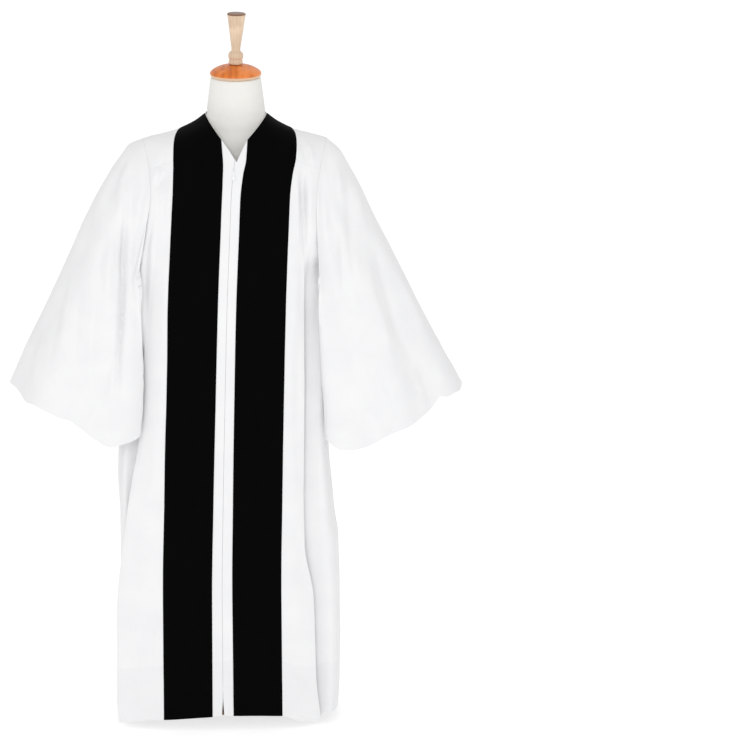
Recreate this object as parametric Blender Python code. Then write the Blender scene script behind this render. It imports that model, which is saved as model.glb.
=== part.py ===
"""A pulpit robe that hangs on a limbless dress form.

The robe is white cloth with two black velvet panels down the front. Each piece that is cut and
sewn is a wall of cloth of its own, and the form is a torso on a pole with a round wooden base.
Metres, +Z up. The front faces -Y, and the wearer's right is at -X.
"""

import math
from types import SimpleNamespace

import bmesh
import bpy
import numpy as np

RIGHT, LEFT = -1, 1
SIDE_NAMES = {RIGHT: "right", LEFT: "left"}

# Cloth and seams
CLOTH = 0.0016
VELVET = 0.0014
TAPE = 0.0010
SEAM = 0.0005
LAID_ON = 0.0003

# Heights on the robe
V_BOTTOM = 1.276
YOKE_IN = 1.324
YOKE_OUT = 1.256
BACK_YOKE_MIDDLE = 1.243
BACK_YOKE_SIDE = 1.226
ARMHOLE_TOP = 1.3175
UNDERARM = 1.040
SIDE_HEM = 0.0095
BACK_HEM_RISE = 0.008
ZIP_BOTTOM = 0.080

# Widths and reaches
VELVET_WIDTH = 0.1095
SLOT = 0.0016
SLOT_AT_HEM = 0.0030
NECK_POINT = SimpleNamespace(out=0.068, back=0.004, height=1.372)
BACK_NECK = SimpleNamespace(back=0.066, height=1.381)
NECK_SHIFT = 0.003
ARMHOLE = SimpleNamespace(top_out=0.203, bottom_out=0.215, front=0.071, back=0.091)
FRONT_ROUNDNESS = 0.45
BACK_ROUNDNESS = 0.85
FRONT_HOLLOW = 0.026
BACK_HOLLOW = 0.014
TURN_RADIUS = 0.004
PLEAT_FADES = SimpleNamespace(low=0.98, high=1.20)
SEAM_FADE = 0.05
PARTED = SimpleNamespace(low=0.020, high=ZIP_BOTTOM)

# The zip: its slider stands at the top, and its pull tab hangs from the slider's bridge
SLIDER_HEIGHT = 1.2625
COIL_TOP = 1.2560
COIL_INSET = 0.0003
SLIDER_PLATE = 0.0013
BRIDGE_WIDTH = 0.0014
PULL_THICKNESS = 0.0009
PULL_CLEARANCE = 0.0005
SLIDER_OUTLINE = (
    (-0.0022, -0.0062),
    (0.0022, -0.0062),
    (0.0032, -0.0052),
    (0.0037, 0.0010),
    (0.0037, 0.0040),
    (0.0028, 0.0056),
    (-0.0028, 0.0056),
    (-0.0037, 0.0040),
    (-0.0037, 0.0010),
    (-0.0032, -0.0052),
)
PULL_OUTLINE = (
    (-0.0026, 0.00055),
    (-0.0026, -0.0068),
    (-0.0017, -0.0086),
    (-0.0021, -0.0150),
    (-0.0029, -0.0215),
    (-0.0029, -0.0240),
    (-0.0018, -0.0257),
    (0.0018, -0.0257),
    (0.0029, -0.0240),
    (0.0029, -0.0215),
    (0.0021, -0.0150),
    (0.0017, -0.0086),
    (0.0026, -0.0068),
    (0.0026, 0.00055),
)

# Columns of points across a front, between one named place and the next
BAND_STEPS = 2
VELVET_STEPS = 6
PANEL_STEPS = 3
PLEAT_STEPS = 2

# The dress form, and the place of the whole, which stands with its box centred
STAND_PLACE = (0.0003, -0.0063, 0)
FORM_X = 0.003
POLE_Y = 0.050
POLE_RADIUS = 0.0135
TORSO_BOTTOM = 0.735
BASE_RADIUS = 0.086
BASE_STRETCH = 1.55
BASE_THICKNESS = 0.012
COLLAR_RADIUS = 0.030
COLLAR_HEIGHT = 0.020
NECK_TOP = 1.4540
NECK_LEAN = math.radians(5.5)
HANDLE_LEAN = math.radians(1.4)
HANDLE_LIFT = 0.00065


class Table:
    """Rows of sizes with named columns, read at any place along the first column."""

    def __init__(self, columns, *rows):
        self.columns = columns.split()
        self.rows = np.array(rows, float)

    def at(self, place):
        places = self.rows[:, 0]
        found = [smooth(place, places, self.rows[:, k]) for k in range(1, len(self.columns))]
        return SimpleNamespace(**dict(zip(self.columns[1:], found)))


def smooth(place, places, values):
    """The value at a place on a smooth curve through the rows, which never goes past them."""
    steps = np.diff(places)
    slopes = np.diff(values) / steps
    product = slopes[:-1] * slopes[1:]
    total = slopes[:-1] + slopes[1:]
    inner = np.where(product > 0, 2 * product / np.where(total == 0, 1, total), 0)
    tangents = np.concatenate([slopes[:1], inner, slopes[-1:]])
    place = min(max(place, places[0]), places[-1])
    k = min(int(np.searchsorted(places, place, side="right")) - 1, len(steps) - 1)
    t = (place - places[k]) / steps[k]
    start = (1 + 2 * t) * (1 - t) ** 2 * values[k] + t * (1 - t) ** 2 * steps[k] * tangents[k]
    end = t * t * (3 - 2 * t) * values[k + 1] + t * t * (t - 1) * steps[k] * tangents[k + 1]
    return float(start + end)


def ease(value, start, end):
    """0 before start, 1 after end, and a smooth rise between."""
    t = min(max((value - start) / (end - start), 0), 1)
    return t * t * (3 - 2 * t)


# The line where the fronts meet: it drifts to the wearer's right as it falls. The band is half
# of the white strip between the velvets.
CENTRE = Table(
    "height x forward band",
    (0.010, -0.0355, 0.1500, 0.0235),
    (0.300, -0.0355, 0.1480, 0.0225),
    (0.520, -0.0316, 0.1460, 0.0215),
    (0.750, -0.0258, 0.1430, 0.0205),
    (0.970, -0.0193, 0.1400, 0.0200),
    (1.120, -0.0125, 0.1360, 0.0200),
    (1.200, -0.0088, 0.1290, 0.0200),
    (1.250, -0.0045, 0.1180, 0.0220),
    (1.283, -0.0008, 0.1060, 0.0255),
    (1.330, -0.0008, 0.0830, 0.0290),
)

# The pleat beside each velvet: how far out its folded edge and the side seam lie from the
# centre line, how far forward they are, and how far the cloth is tucked back under the edge.
PLEATS = {
    RIGHT: Table(
        "height edge edge_forward tuck side side_forward",
        (0.010, 0.2350, 0.118, 0.046, 0.2290, 0.020),
        (0.066, 0.2425, 0.118, 0.050, 0.2330, 0.020),
        (0.260, 0.2385, 0.118, 0.048, 0.2310, 0.020),
        (0.355, 0.2306, 0.118, 0.042, 0.2290, 0.018),
        (0.480, 0.2148, 0.118, 0.030, 0.2310, 0.016),
        (0.571, 0.2030, 0.117, 0.022, 0.2365, 0.014),
        (0.684, 0.1863, 0.116, 0.016, 0.2370, 0.012),
        (0.797, 0.1813, 0.115, 0.015, 0.2310, 0.010),
        (0.909, 0.1775, 0.114, 0.014, 0.2240, 0.006),
        (0.998, 0.1720, 0.112, 0.012, 0.2150, 0.002),
        (1.110, 0.1667, 0.108, 0.010, 0.2030, 0.000),
        (1.210, 0.1660, 0.092, 0.008, 0.2030, 0.000),
        (1.260, 0.1650, 0.078, 0.008, 0.2030, 0.000),
        (1.330, 0.1650, 0.050, 0.008, 0.2030, 0.000),
    ),
    LEFT: Table(
        "height edge edge_forward tuck side side_forward",
        (0.010, 0.2205, 0.122, 0.030, 0.2600, 0.040),
        (0.110, 0.2120, 0.122, 0.030, 0.2650, 0.040),
        (0.200, 0.2075, 0.121, 0.028, 0.2665, 0.038),
        (0.293, 0.2050, 0.120, 0.026, 0.2660, 0.036),
        (0.420, 0.1835, 0.119, 0.020, 0.2620, 0.032),
        (0.485, 0.1810, 0.119, 0.018, 0.2500, 0.028),
        (0.681, 0.1775, 0.117, 0.016, 0.2340, 0.018),
        (0.797, 0.1750, 0.116, 0.015, 0.2360, 0.012),
        (0.906, 0.1720, 0.114, 0.014, 0.2350, 0.006),
        (0.998, 0.1680, 0.112, 0.012, 0.2330, 0.002),
        (1.110, 0.1640, 0.108, 0.010, 0.2260, 0.000),
        (1.210, 0.1635, 0.092, 0.008, 0.2200, 0.000),
        (1.260, 0.1630, 0.078, 0.008, 0.2200, 0.000),
        (1.330, 0.1630, 0.050, 0.008, 0.2200, 0.000),
    ),
}

# The stretch from under a pleat out to the side seam: part of the way out and part of the way back
PLEAT_RETURN = ((0.42, 0.10), (0.80, 0.36), (1, 1))
PLAIN_ROUNDING = 1.3
PANEL_ROUNDING = 2.5

# Hem height by distance from the centre line: the bust lifts it in the middle.
HEMS = {
    RIGHT: Table(
        "distance height",
        (0, 0.0330),
        (0.110, 0.0240),
        (0.175, 0.0190),
        (0.240, SIDE_HEM),
    ),
    LEFT: Table(
        "distance height",
        (0, 0.0330),
        (0.130, 0.0295),
        (0.180, 0.0130),
        (0.270, SIDE_HEM),
    ),
}

# Heights of the rows of points, where they meet a side seam and then an armhole
SEAM_ROWS = (SIDE_HEM, 0.0615, 0.240, 0.400, 0.560, 0.710, 0.840, 0.950, UNDERARM)
FRONT_ROWS = (*SEAM_ROWS, 1.075, 1.120, 1.165, 1.210, YOKE_OUT)
BACK_ROWS = (*SEAM_ROWS, 1.075, 1.115, 1.155, 1.192, BACK_YOKE_SIDE)
YOKE_ROWS = 6

# The back's plain outline: how far back it reaches, and how square its corners are
BACK = Table(
    "height back square",
    (0.010, 0.150, 2.7),
    (0.400, 0.142, 2.7),
    (0.800, 0.132, 2.6),
    (1.040, 0.124, 2.5),
    (1.150, 0.120, 2.4),
    (1.243, 0.112, 2.2),
)

# The flutes that fall from the back yoke: place from the wearer's right seam to the left one,
# and depth at the hem
FLUTES = (
    (0.112, 0.012),
    (0.188, 0.016),
    (0.268, 0.019),
    (0.342, 0.016),
    (0.424, 0.020),
    (0.500, 0.018),
    (0.580, 0.021),
    (0.655, 0.017),
    (0.735, 0.019),
    (0.812, 0.016),
    (0.890, 0.012),
)
FLUTE_STEPS = 6
FLUTE_LEAN = 0.80
SEAM_COLUMNS = 3
BACK_YOKE_SKIPS = 3

# A flute's depth, as a share of its depth at the hem, is the sum of what it gains down each
# stretch of the back
FLUTE_GAINS = Table(
    "top bottom share",
    (BACK_YOKE_MIDDLE, 1.0, 0.45),
    (1.1, 0.1, 0.55),
)

# Height of the shoulder ridge by distance from the middle
RIDGE = Table(
    "out height",
    (0.068, NECK_POINT.height),
    (0.091, 1.3555),
    (0.122, 1.3400),
    (0.165, 1.3270),
    (0.203, ARMHOLE_TOP),
)
VELVET_ON_RIDGE = 0.121

# A sleeve from its head to its cuff. Each row is one ring, and x is counted out from the middle:
# its outer end, its inner end in front of the body, its seam beside the body, how far forward the
# inner end lies, how deep the front and back bulge, and how far its front hangs below the ends.
SLEEVES = {
    RIGHT: Table(
        "along out_x out_z in_x in_z in_forward side_x side_z front back dip",
        (0.08, 0.2400, 1.2990, 0.2360, 1.0350, 0.050, 0.2440, 1.0240, 0.088, 0.104, 0.000),
        (0.20, 0.2800, 1.2430, 0.2170, 0.9950, 0.090, 0.2620, 0.9900, 0.104, 0.112, 0.002),
        (0.35, 0.3260, 1.1570, 0.2120, 0.9350, 0.112, 0.2720, 0.9380, 0.122, 0.116, 0.008),
        (0.50, 0.3740, 1.0550, 0.2120, 0.8700, 0.124, 0.2800, 0.8830, 0.134, 0.118, 0.014),
        (0.66, 0.4250, 0.9480, 0.2130, 0.8050, 0.131, 0.2840, 0.8230, 0.141, 0.116, 0.020),
        (0.83, 0.4700, 0.8580, 0.2150, 0.7400, 0.134, 0.2860, 0.7600, 0.145, 0.114, 0.028),
        (1.00, 0.5080, 0.7700, 0.2180, 0.6790, 0.136, 0.2880, 0.6980, 0.147, 0.112, 0.034),
    ),
    LEFT: Table(
        "along out_x out_z in_x in_z in_forward side_x side_z front back dip",
        (0.08, 0.2360, 1.2830, 0.2060, 1.0350, 0.050, 0.2160, 1.0240, 0.088, 0.104, 0.000),
        (0.20, 0.2720, 1.2200, 0.1900, 0.9950, 0.086, 0.2260, 0.9900, 0.106, 0.112, 0.002),
        (0.35, 0.3180, 1.1260, 0.1960, 0.9350, 0.110, 0.2330, 0.9380, 0.122, 0.116, 0.008),
        (0.50, 0.3680, 1.0280, 0.2040, 0.8700, 0.118, 0.2380, 0.8830, 0.132, 0.118, 0.014),
        (0.66, 0.4200, 0.9220, 0.2090, 0.8050, 0.124, 0.2440, 0.8230, 0.138, 0.116, 0.028),
        (0.83, 0.4660, 0.8380, 0.2150, 0.7400, 0.126, 0.2520, 0.7600, 0.141, 0.114, 0.042),
        (1.00, 0.5060, 0.7640, 0.2160, 0.6700, 0.128, 0.2580, 0.6960, 0.143, 0.112, 0.054),
    ),
}
SLEEVE_QUARTER = 10
SLEEVE_SEAM_BACK = 0.004
SLEEVE_FLARE = 0.3
CURVE_STEPS = 12

# A ring's shape: along its front from the outer end to the inner one (part of the way, shares of
# the front's depth, the inner end's and the dip), from the inner end to the seam (part of the
# way, share of how far forward), and along its back to the outer end (part, depth, dip)
FRONT_BULGE = (
    (0.06, 0.42, 0.00, 0.05),
    (0.20, 0.74, 0.00, 0.30),
    (0.45, 0.96, 0.00, 0.75),
    (0.70, 1.00, 0.00, 1.00),
    (0.90, 0.55, 0.46, 0.75),
)
RETURN_SHAPE = ((0.36, 0.82), (0.74, 0.46))
BACK_BULGE = (
    (0.10, 0.42, 0.10),
    (0.30, 0.84, 0.50),
    (0.55, 1.00, 0.90),
    (0.80, 0.78, 0.60),
    (0.95, 0.34, 0.20),
)

# Folds down a sleeve: where each lies round it at the head and at the cuff, in quarter turns from
# the outer end over the front, its half width in quarter turns, and its height at the cuff
# (a trough is negative)
SLEEVE_FOLDS = {
    RIGHT: (
        (0.34, 0.22, 0.16, -0.009),
        (0.66, 0.50, 0.15, 0.008),
        (0.92, 0.86, 0.15, -0.007),
        (1.16, 1.22, 0.15, 0.011),
        (1.44, 1.56, 0.14, -0.022),
        (2.42, 2.36, 0.20, -0.010),
        (2.80, 2.78, 0.18, 0.010),
        (3.16, 3.22, 0.18, -0.011),
        (3.52, 3.62, 0.16, 0.008),
    ),
    LEFT: (
        (0.30, 0.26, 0.14, 0.007),
        (0.54, 0.50, 0.15, -0.010),
        (0.80, 0.78, 0.15, 0.011),
        (1.08, 1.08, 0.14, -0.010),
        (1.36, 1.40, 0.15, 0.010),
        (2.44, 2.40, 0.20, -0.011),
        (2.82, 2.82, 0.18, 0.009),
        (3.20, 3.20, 0.18, -0.010),
        (3.56, 3.58, 0.16, 0.009),
    ),
}

# The torso of the form: its half width, front and back at each height
TORSO = Table(
    "height half front back",
    (0.735, 0.150, 0.086, 0.090),
    (0.760, 0.160, 0.098, 0.102),
    (0.830, 0.163, 0.104, 0.108),
    (0.920, 0.142, 0.098, 0.096),
    (0.985, 0.118, 0.090, 0.080),
    (1.050, 0.130, 0.102, 0.086),
    (1.110, 0.148, 0.124, 0.094),
    (1.150, 0.156, 0.122, 0.098),
    (1.210, 0.164, 0.100, 0.098),
    (1.260, 0.166, 0.078, 0.088),
    (1.290, 0.1590, 0.0640, 0.0720),
    (1.314, 0.1500, 0.0560, 0.0630),
    (1.3275, 0.1350, 0.0510, 0.0570),
    (1.3365, 0.1200, 0.0490, 0.0550),
    (1.3445, 0.1050, 0.0490, 0.0540),
    (1.3525, 0.0910, 0.0490, 0.0540),
    (1.3605, 0.0778, 0.0490, 0.0535),
    (1.3670, 0.0690, 0.0495, 0.0535),
    (1.3725, 0.0642, 0.0505, 0.0540),
    (1.3780, 0.0649, 0.0510, 0.0545),
    (1.3900, 0.0638, 0.0535, 0.0560),
    (1.4140, 0.0608, 0.0550, 0.0565),
    (1.4540, 0.0560, 0.0558, 0.0558),
)
TORSO_AROUND = 32

# Turned profiles, as radius and height above the foot of each piece
CAP_PROFILE = (
    (0.0000, 0.0000),
    (0.0545, 0.0000),
    (0.0561, 0.0030),
    (0.0567, 0.0066),
    (0.0560, 0.0100),
    (0.0505, 0.0150),
    (0.0405, 0.0205),
    (0.0280, 0.0246),
    (0.0140, 0.0268),
    (0.0000, 0.0274),
)
HANDLE_PROFILE = (
    (0.0000, 0.0000),
    (0.0148, 0.0000),
    (0.0156, 0.0030),
    (0.0153, 0.0078),
    (0.0147, 0.0105),
    (0.0162, 0.0140),
    (0.0169, 0.0188),
    (0.0160, 0.0232),
    (0.0134, 0.0266),
    (0.0104, 0.0296),
    (0.0100, 0.0345),
    (0.0124, 0.0520),
    (0.0149, 0.0700),
    (0.0176, 0.0900),
    (0.0205, 0.1102),
    (0.0205, 0.1120),
    (0.0192, 0.1130),
    (0.0000, 0.1130),
)


def material(name, colour, roughness, metallic=0.0):
    """A plain finish for one kind of piece."""
    made = bpy.data.materials.get(name) or bpy.data.materials.new(name)
    made.use_nodes = True
    shader = made.node_tree.nodes["Principled BSDF"]
    shader.inputs["Base Color"].default_value = (*colour, 1)
    shader.inputs["Roughness"].default_value = roughness
    shader.inputs["Metallic"].default_value = metallic
    made.diffuse_color = (*colour, 1)
    return made


def white_cloth():
    return material("white_cloth", (0.86, 0.87, 0.90), 0.55)


def black_velvet():
    return material("black_velvet", (0.006, 0.006, 0.007), 0.95)


def form_jersey():
    return material("form_jersey", (0.72, 0.69, 0.62), 0.80)


def cap_wood():
    return material("cap_wood", (0.45, 0.20, 0.08), 0.35)


def handle_wood():
    return material("handle_wood", (0.62, 0.42, 0.24), 0.40)


def base_wood():
    return material("base_wood", (0.20, 0.10, 0.05), 0.45)


def zip_plastic():
    return material("zip_plastic", (0.80, 0.81, 0.84), 0.40)


def zip_metal():
    return material("zip_metal", (0.78, 0.79, 0.82), 0.35, 0.4)


def finish_mesh(name, mesh, finish, parent, sharp_angle=50):
    """An object that holds the mesh, shaded smooth between its sharp edges."""
    mesh.shade_smooth()
    mesh.set_sharp_from_angle(angle=math.radians(sharp_angle))
    mesh.materials.append(finish)
    made = bpy.data.objects.new(name, mesh)
    bpy.context.scene.collection.objects.link(made)
    made.parent = parent
    return made


def mesh_from(name, vertices, faces):
    """A closed mesh with its faces pointing out."""
    mesh = bpy.data.meshes.new(name)
    mesh.from_pydata([tuple(point) for point in vertices], [], faces)
    shape = bmesh.new()
    shape.from_mesh(mesh)
    bmesh.ops.recalc_face_normals(shape, faces=shape.faces)
    shape.to_mesh(mesh)
    shape.free()
    return mesh


def normals_of(grid, around=False):
    """Unit normals of a grid of points, along columns crossed with up the rows."""
    across = np.gradient(grid, axis=1)
    if around:
        across = (np.roll(grid, -1, axis=1) - np.roll(grid, 1, axis=1)) / 2
    up = np.gradient(grid, axis=0)
    normal = np.cross(across, up)
    return normal / np.linalg.norm(normal, axis=2, keepdims=True)


def wall(name, outer, inner, finish, parent, around=False):
    """A wall of cloth between two grids of points, closed along its edges."""
    rows, columns = outer.shape[:2]
    vertices = np.concatenate([outer.reshape(-1, 3), inner.reshape(-1, 3)])
    layer = rows * columns
    last = columns if around else columns - 1
    faces = []
    for row in range(rows - 1):
        for column in range(last):
            beside = (column + 1) % columns
            here, there = row * columns + column, row * columns + beside
            for ring in ((here, there, there + columns), (here, there + columns, here + columns)):
                faces.append(ring)
                faces.append([layer + corner for corner in reversed(ring)])
    edges = [(row, column, row, (column + 1) % columns) for row in (0, rows - 1) for column in range(last)]
    if not around:
        edges += [(row, column, row + 1, column) for column in (0, columns - 1) for row in range(rows - 1)]
    for row, column, other_row, other_column in edges:
        here = row * columns + column
        there = other_row * columns + other_column
        faces.append([here, there, layer + there, layer + here])
    return finish_mesh(name, mesh_from(name, vertices, faces), finish, parent)


def along_edge(grid, row=None, column=None, by=SEAM / 2):
    """Draws one edge of a grid back from the seam that it shares."""
    if row is not None:
        line, beside = grid[row], grid[row + 1 if row == 0 else row - 1]
    else:
        line, beside = grid[:, column], grid[:, column + 1 if column == 0 else column - 1]
    away = beside - line
    line += away / np.linalg.norm(away, axis=1, keepdims=True) * by


def curve_through(nodes, steps):
    """Points on a smooth curve through plan nodes, with the same number of steps in each span."""
    nodes = np.array(nodes, float)
    ends = np.concatenate([[2 * nodes[0] - nodes[1]], nodes, [2 * nodes[-1] - nodes[-2]]])
    points = []
    for k in range(1, len(ends) - 2):
        before, start, end, after = ends[k - 1 : k + 3]
        for t in np.arange(steps) / steps:
            bend = 2 * before - 5 * start + 4 * end - after
            twist = 3 * start - before - 3 * end + after
            points.append(start + 0.5 * t * ((end - before) + t * (bend + t * twist)))
    points.append(nodes[-1])
    return np.array(points)


def armhole_at(side, height, forward_side):
    """Plan place of the armhole edge at a height, as x and how far forward."""
    middle = (ARMHOLE_TOP + UNDERARM) / 2
    half = (ARMHOLE_TOP - UNDERARM) / 2
    s = min(max((height - middle) / half, -1), 1)
    hollow = FRONT_HOLLOW if forward_side else BACK_HOLLOW
    out = ARMHOLE.bottom_out + (ARMHOLE.top_out - ARMHOLE.bottom_out) * (1 + s) / 2
    out -= hollow * (1 - s * s)
    reach = ARMHOLE.front if forward_side else -ARMHOLE.back
    forward = reach * math.sqrt(1 - s * s) - NECK_POINT.back * (1 + s) / 2
    return side * out + CENTRE.at(height).x * (1 - s) / 2, forward


def slot_at(height):
    """Half of the gap between the fronts: closed by the zip, and parted below it."""
    return SLOT_AT_HEM + (SLOT - SLOT_AT_HEM) * ease(height, PARTED.low, PARTED.high)


def front_section(side, height):
    """Plan points of one front at a height, from the centre to the side seam or armhole."""
    centre = CENTRE.at(height)
    pleat = PLEATS[side].at(height)
    flat_end = pleat.edge - TURN_RADIUS * 1.5
    places = [slot_at(height), centre.band, centre.band + VELVET_WIDTH, flat_end]
    steps = (BAND_STEPS, VELVET_STEPS, PANEL_STEPS)
    distances = [
        start + (end - start) * k / count
        for start, end, count in zip(places, places[1:], steps)
        for k in range(count)
    ]

    def forward_at(distance):
        drop = centre.forward - pleat.edge_forward
        return centre.forward - drop * (distance / pleat.edge) ** PANEL_ROUNDING

    flat = [(centre.x + side * distance, forward_at(distance)) for distance in distances]
    end = (centre.x + side * pleat.side, pleat.side_forward)
    if height > UNDERARM - SEAM_FADE:
        x, forward = armhole_at(side, height, True)
        seam = ease(height, UNDERARM - SEAM_FADE, UNDERARM)
        end = (end[0] + (x - end[0]) * seam, end[1] + (forward - end[1]) * seam)
    start = np.array((centre.x + side * flat_end, forward_at(flat_end)))
    folded = pleat_nodes(side, start, np.array(end), pleat.tuck)
    plain = plain_nodes(side, start, np.array(end), len(folded))
    deep = 1 - ease(height, PLEAT_FADES.low, PLEAT_FADES.high)
    nodes = plain + (folded - plain) * deep
    plan = np.array(flat + list(curve_through(nodes, PLEAT_STEPS)))
    return np.column_stack([plan[:, 0], -plan[:, 1], np.full(len(plan), height)])


def pleat_nodes(side, start, end, tuck):
    """The folded edge, the cloth tucked back under it, and the stretch out to the side seam."""
    turn = TURN_RADIUS
    under = np.array(
        [
            (0, 0),
            (1.5 * turn, -turn),
            (0, -2 * turn),
            (1.5 * turn - tuck, -2.5 * turn),
            (0.5 * turn - tuck, -3.5 * turn),
            (1.5 * turn - tuck, -4.6 * turn),
        ]
    )
    folded = start + under * (side, 1)
    run = end - folded[-1]
    rest = [folded[-1] + run * part for part in PLEAT_RETURN]
    return np.concatenate([folded, rest])


def plain_nodes(side, start, end, count):
    """The same stretch with no fold, rounding from the panel to its edge."""
    parts = np.arange(count) / (count - 1)
    run = end - start
    return start + np.column_stack([run[0] * parts, run[1] * parts**PLAIN_ROUNDING])


def front_top(side):
    """Height of the top edge of each column: the neckline, then the yoke seam."""
    across = np.abs(front_section(side, YOKE_OUT)[:, 0])
    band = across[BAND_STEPS]
    rise = (YOKE_IN - V_BOTTOM) / band
    seam = YOKE_IN + (YOKE_OUT - YOKE_IN) * (across - band) / (across[-1] - band)
    return np.where(np.arange(len(across)) < BAND_STEPS, V_BOTTOM + rise * across, seam)


def row_parts(rows):
    """How far each row lies up its piece."""
    return [(row - rows[0]) / (rows[-1] - rows[0]) for row in rows]


def front_grid(side):
    """Outer points of one front, from the hem up to the neckline and the yoke seam."""
    tops = front_top(side)
    low = np.abs(front_section(side, 0.03)[:, 0] - CENTRE.at(0.03).x)
    hems = [HEMS[side].at(distance).height for distance in low]
    hems[-1] = SIDE_HEM
    grid = np.empty((len(FRONT_ROWS), len(tops), 3))
    for row, part in enumerate(row_parts(FRONT_ROWS)):
        for column, (top, hem) in enumerate(zip(tops, hems)):
            height = hem + (top - hem) * part
            grid[row, column] = front_section(side, height)[column]
    return grid


def back_section(height):
    """Plan points of the back at a height, from the wearer's right to the left, with its flutes."""
    shape = BACK.at(height)
    ends = []
    for side in (RIGHT, LEFT):
        ends.append(front_end(side, height))
    (right_x, right_y), (left_x, left_y) = ends
    turns = np.linspace(0, math.pi, 241)
    power = 2 / shape.square
    across = np.sign(np.cos(turns)) * np.abs(np.cos(turns)) ** power
    deep = np.sin(turns) ** power
    middle, half = (right_x + left_x) / 2, (left_x - right_x) / 2
    x = middle - half * across
    base_y = left_y + (right_y - left_y) * (1 + across) / 2
    y = base_y + (shape.back - base_y) * deep
    lengths = np.concatenate([[0], np.cumsum(np.hypot(np.diff(x), np.diff(y)))])
    phases, strengths, places = flute_columns()
    at = places * lengths[-1]
    plan = np.column_stack([np.interp(at, lengths, x), np.interp(at, lengths, y)])
    tangent = np.gradient(plan, axis=0)
    tangent /= np.linalg.norm(tangent, axis=1, keepdims=True)
    outward = np.column_stack([-tangent[:, 1], tangent[:, 0]])
    open_out = sum(share * (1 - ease(height, low, high)) for high, low, share in FLUTE_GAINS.rows)
    depth = (strengths * open_out)[:, None]
    wave = lengths[-1] / (len(FLUTES) + 1) / (2 * math.pi)
    lean = np.sin(phases)[:, None] * tangent * np.minimum(depth, wave * FLUTE_LEAN)
    plan = plan + outward * depth * np.cos(phases)[:, None] + lean
    return np.column_stack([plan, np.full(len(plan), height)])


def front_end(side, height):
    """Plan place where a front meets the back: the side seam, or the back of the armhole."""
    if height < UNDERARM:
        x, y, _ = front_section(side, height)[-1]
        return x, y
    x, forward = armhole_at(side, height, False)
    return x, -forward


def flute_columns():
    """Phase, depth and place of each column across the back."""
    ridges = [place for place, _ in FLUTES]
    depths = [depth for _, depth in FLUTES]
    first, last = 2 * ridges[0] - ridges[1], 2 * ridges[-1] - ridges[-2]
    knots = [first] + ridges + [last]
    phases, strengths, places = [], [], []
    for k in range(len(knots) - 1):
        for step in range(FLUTE_STEPS):
            part = step / FLUTE_STEPS
            phases.append(2 * math.pi * (k + part))
            places.append(knots[k] + (knots[k + 1] - knots[k]) * part)
            strengths.append(np.interp(k + part, range(len(knots)), [0] + depths + [0]))
    places.append(last)
    phases.append(2 * math.pi * (len(knots) - 1))
    strengths.append(0)
    edge = np.arange(SEAM_COLUMNS) / SEAM_COLUMNS
    flat = np.zeros(SEAM_COLUMNS)
    places = np.concatenate([edge * first, places, 1 - edge[::-1] * (1 - last)])
    phases = np.concatenate([flat, phases, flat])
    strengths = np.concatenate([flat, strengths, flat])
    return phases, strengths, places


def back_grid():
    """Outer points of the back, from the hem up to the back yoke seam."""
    _, _, places = flute_columns()
    grid = np.empty((len(BACK_ROWS), len(places), 3))
    for column, place in enumerate(places):
        middle = math.sin(math.pi * place)
        top = BACK_YOKE_SIDE + (BACK_YOKE_MIDDLE - BACK_YOKE_SIDE) * middle
        hem = SIDE_HEM + BACK_HEM_RISE * middle
        for row, part in enumerate(row_parts(BACK_ROWS)):
            grid[row, column] = back_section(hem + (top - hem) * part)[column]
    return grid


def ridge_point(side, out):
    """A point on the shoulder seam. The neck stands a little to the wearer's left."""
    shift = NECK_SHIFT * (ARMHOLE.top_out - out) / (ARMHOLE.top_out - NECK_POINT.out)
    return np.array((side * out + shift, NECK_POINT.back, RIDGE.at(out).height))


def over_shoulder(bottom, top, start, end, roundness):
    """A grid of points inside four edges: rows from bottom to top, columns from start to end.

    The rounder it is, the more upright it stands at the bottom and the flatter it lies on top.
    """
    columns = np.linspace(0, 1, len(bottom))[None, :, None]
    even = np.linspace(0, 1, len(start))
    turns = even * math.pi / 2
    rise = even + (np.sin(turns) - even) * roundness
    lean = even + (1 - np.cos(turns) - even) * roundness
    rows = np.column_stack([even, lean, rise])[:, None, :]
    between = (1 - rows) * bottom[None] + rows * top[None]
    across = (1 - columns) * start[:, None] + columns * end[:, None]
    corners = (1 - rows) * ((1 - columns) * bottom[0] + columns * bottom[-1])
    corners = corners + rows * ((1 - columns) * top[0] + columns * top[-1])
    return between + across - corners


def neckline(side, foot, rows):
    """The slanting neck edge of a front yoke, round the side of the neck."""
    turns = np.linspace(0, math.pi / 2, rows)
    head = ridge_point(side, NECK_POINT.out)
    part = np.sin(turns)
    x = foot[0] + (head[0] - foot[0]) * part
    z = foot[2] + (head[2] - foot[2]) * part
    y = head[1] + (foot[1] - head[1]) * np.cos(turns)
    return np.column_stack([x, y, z])


def armhole_edge(side, low, high, forward_side, rows):
    """Points up an armhole from one height to another, evenly spaced round its curve."""
    middle = (ARMHOLE_TOP + UNDERARM) / 2
    half = (ARMHOLE_TOP - UNDERARM) / 2
    turns = np.linspace(math.asin((low - middle) / half), math.asin((high - middle) / half), rows)
    points = []
    for turn in turns:
        height = middle + half * math.sin(turn)
        x, forward = armhole_at(side, height, forward_side)
        points.append((x, -forward, height))
    return np.array(points)


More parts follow.
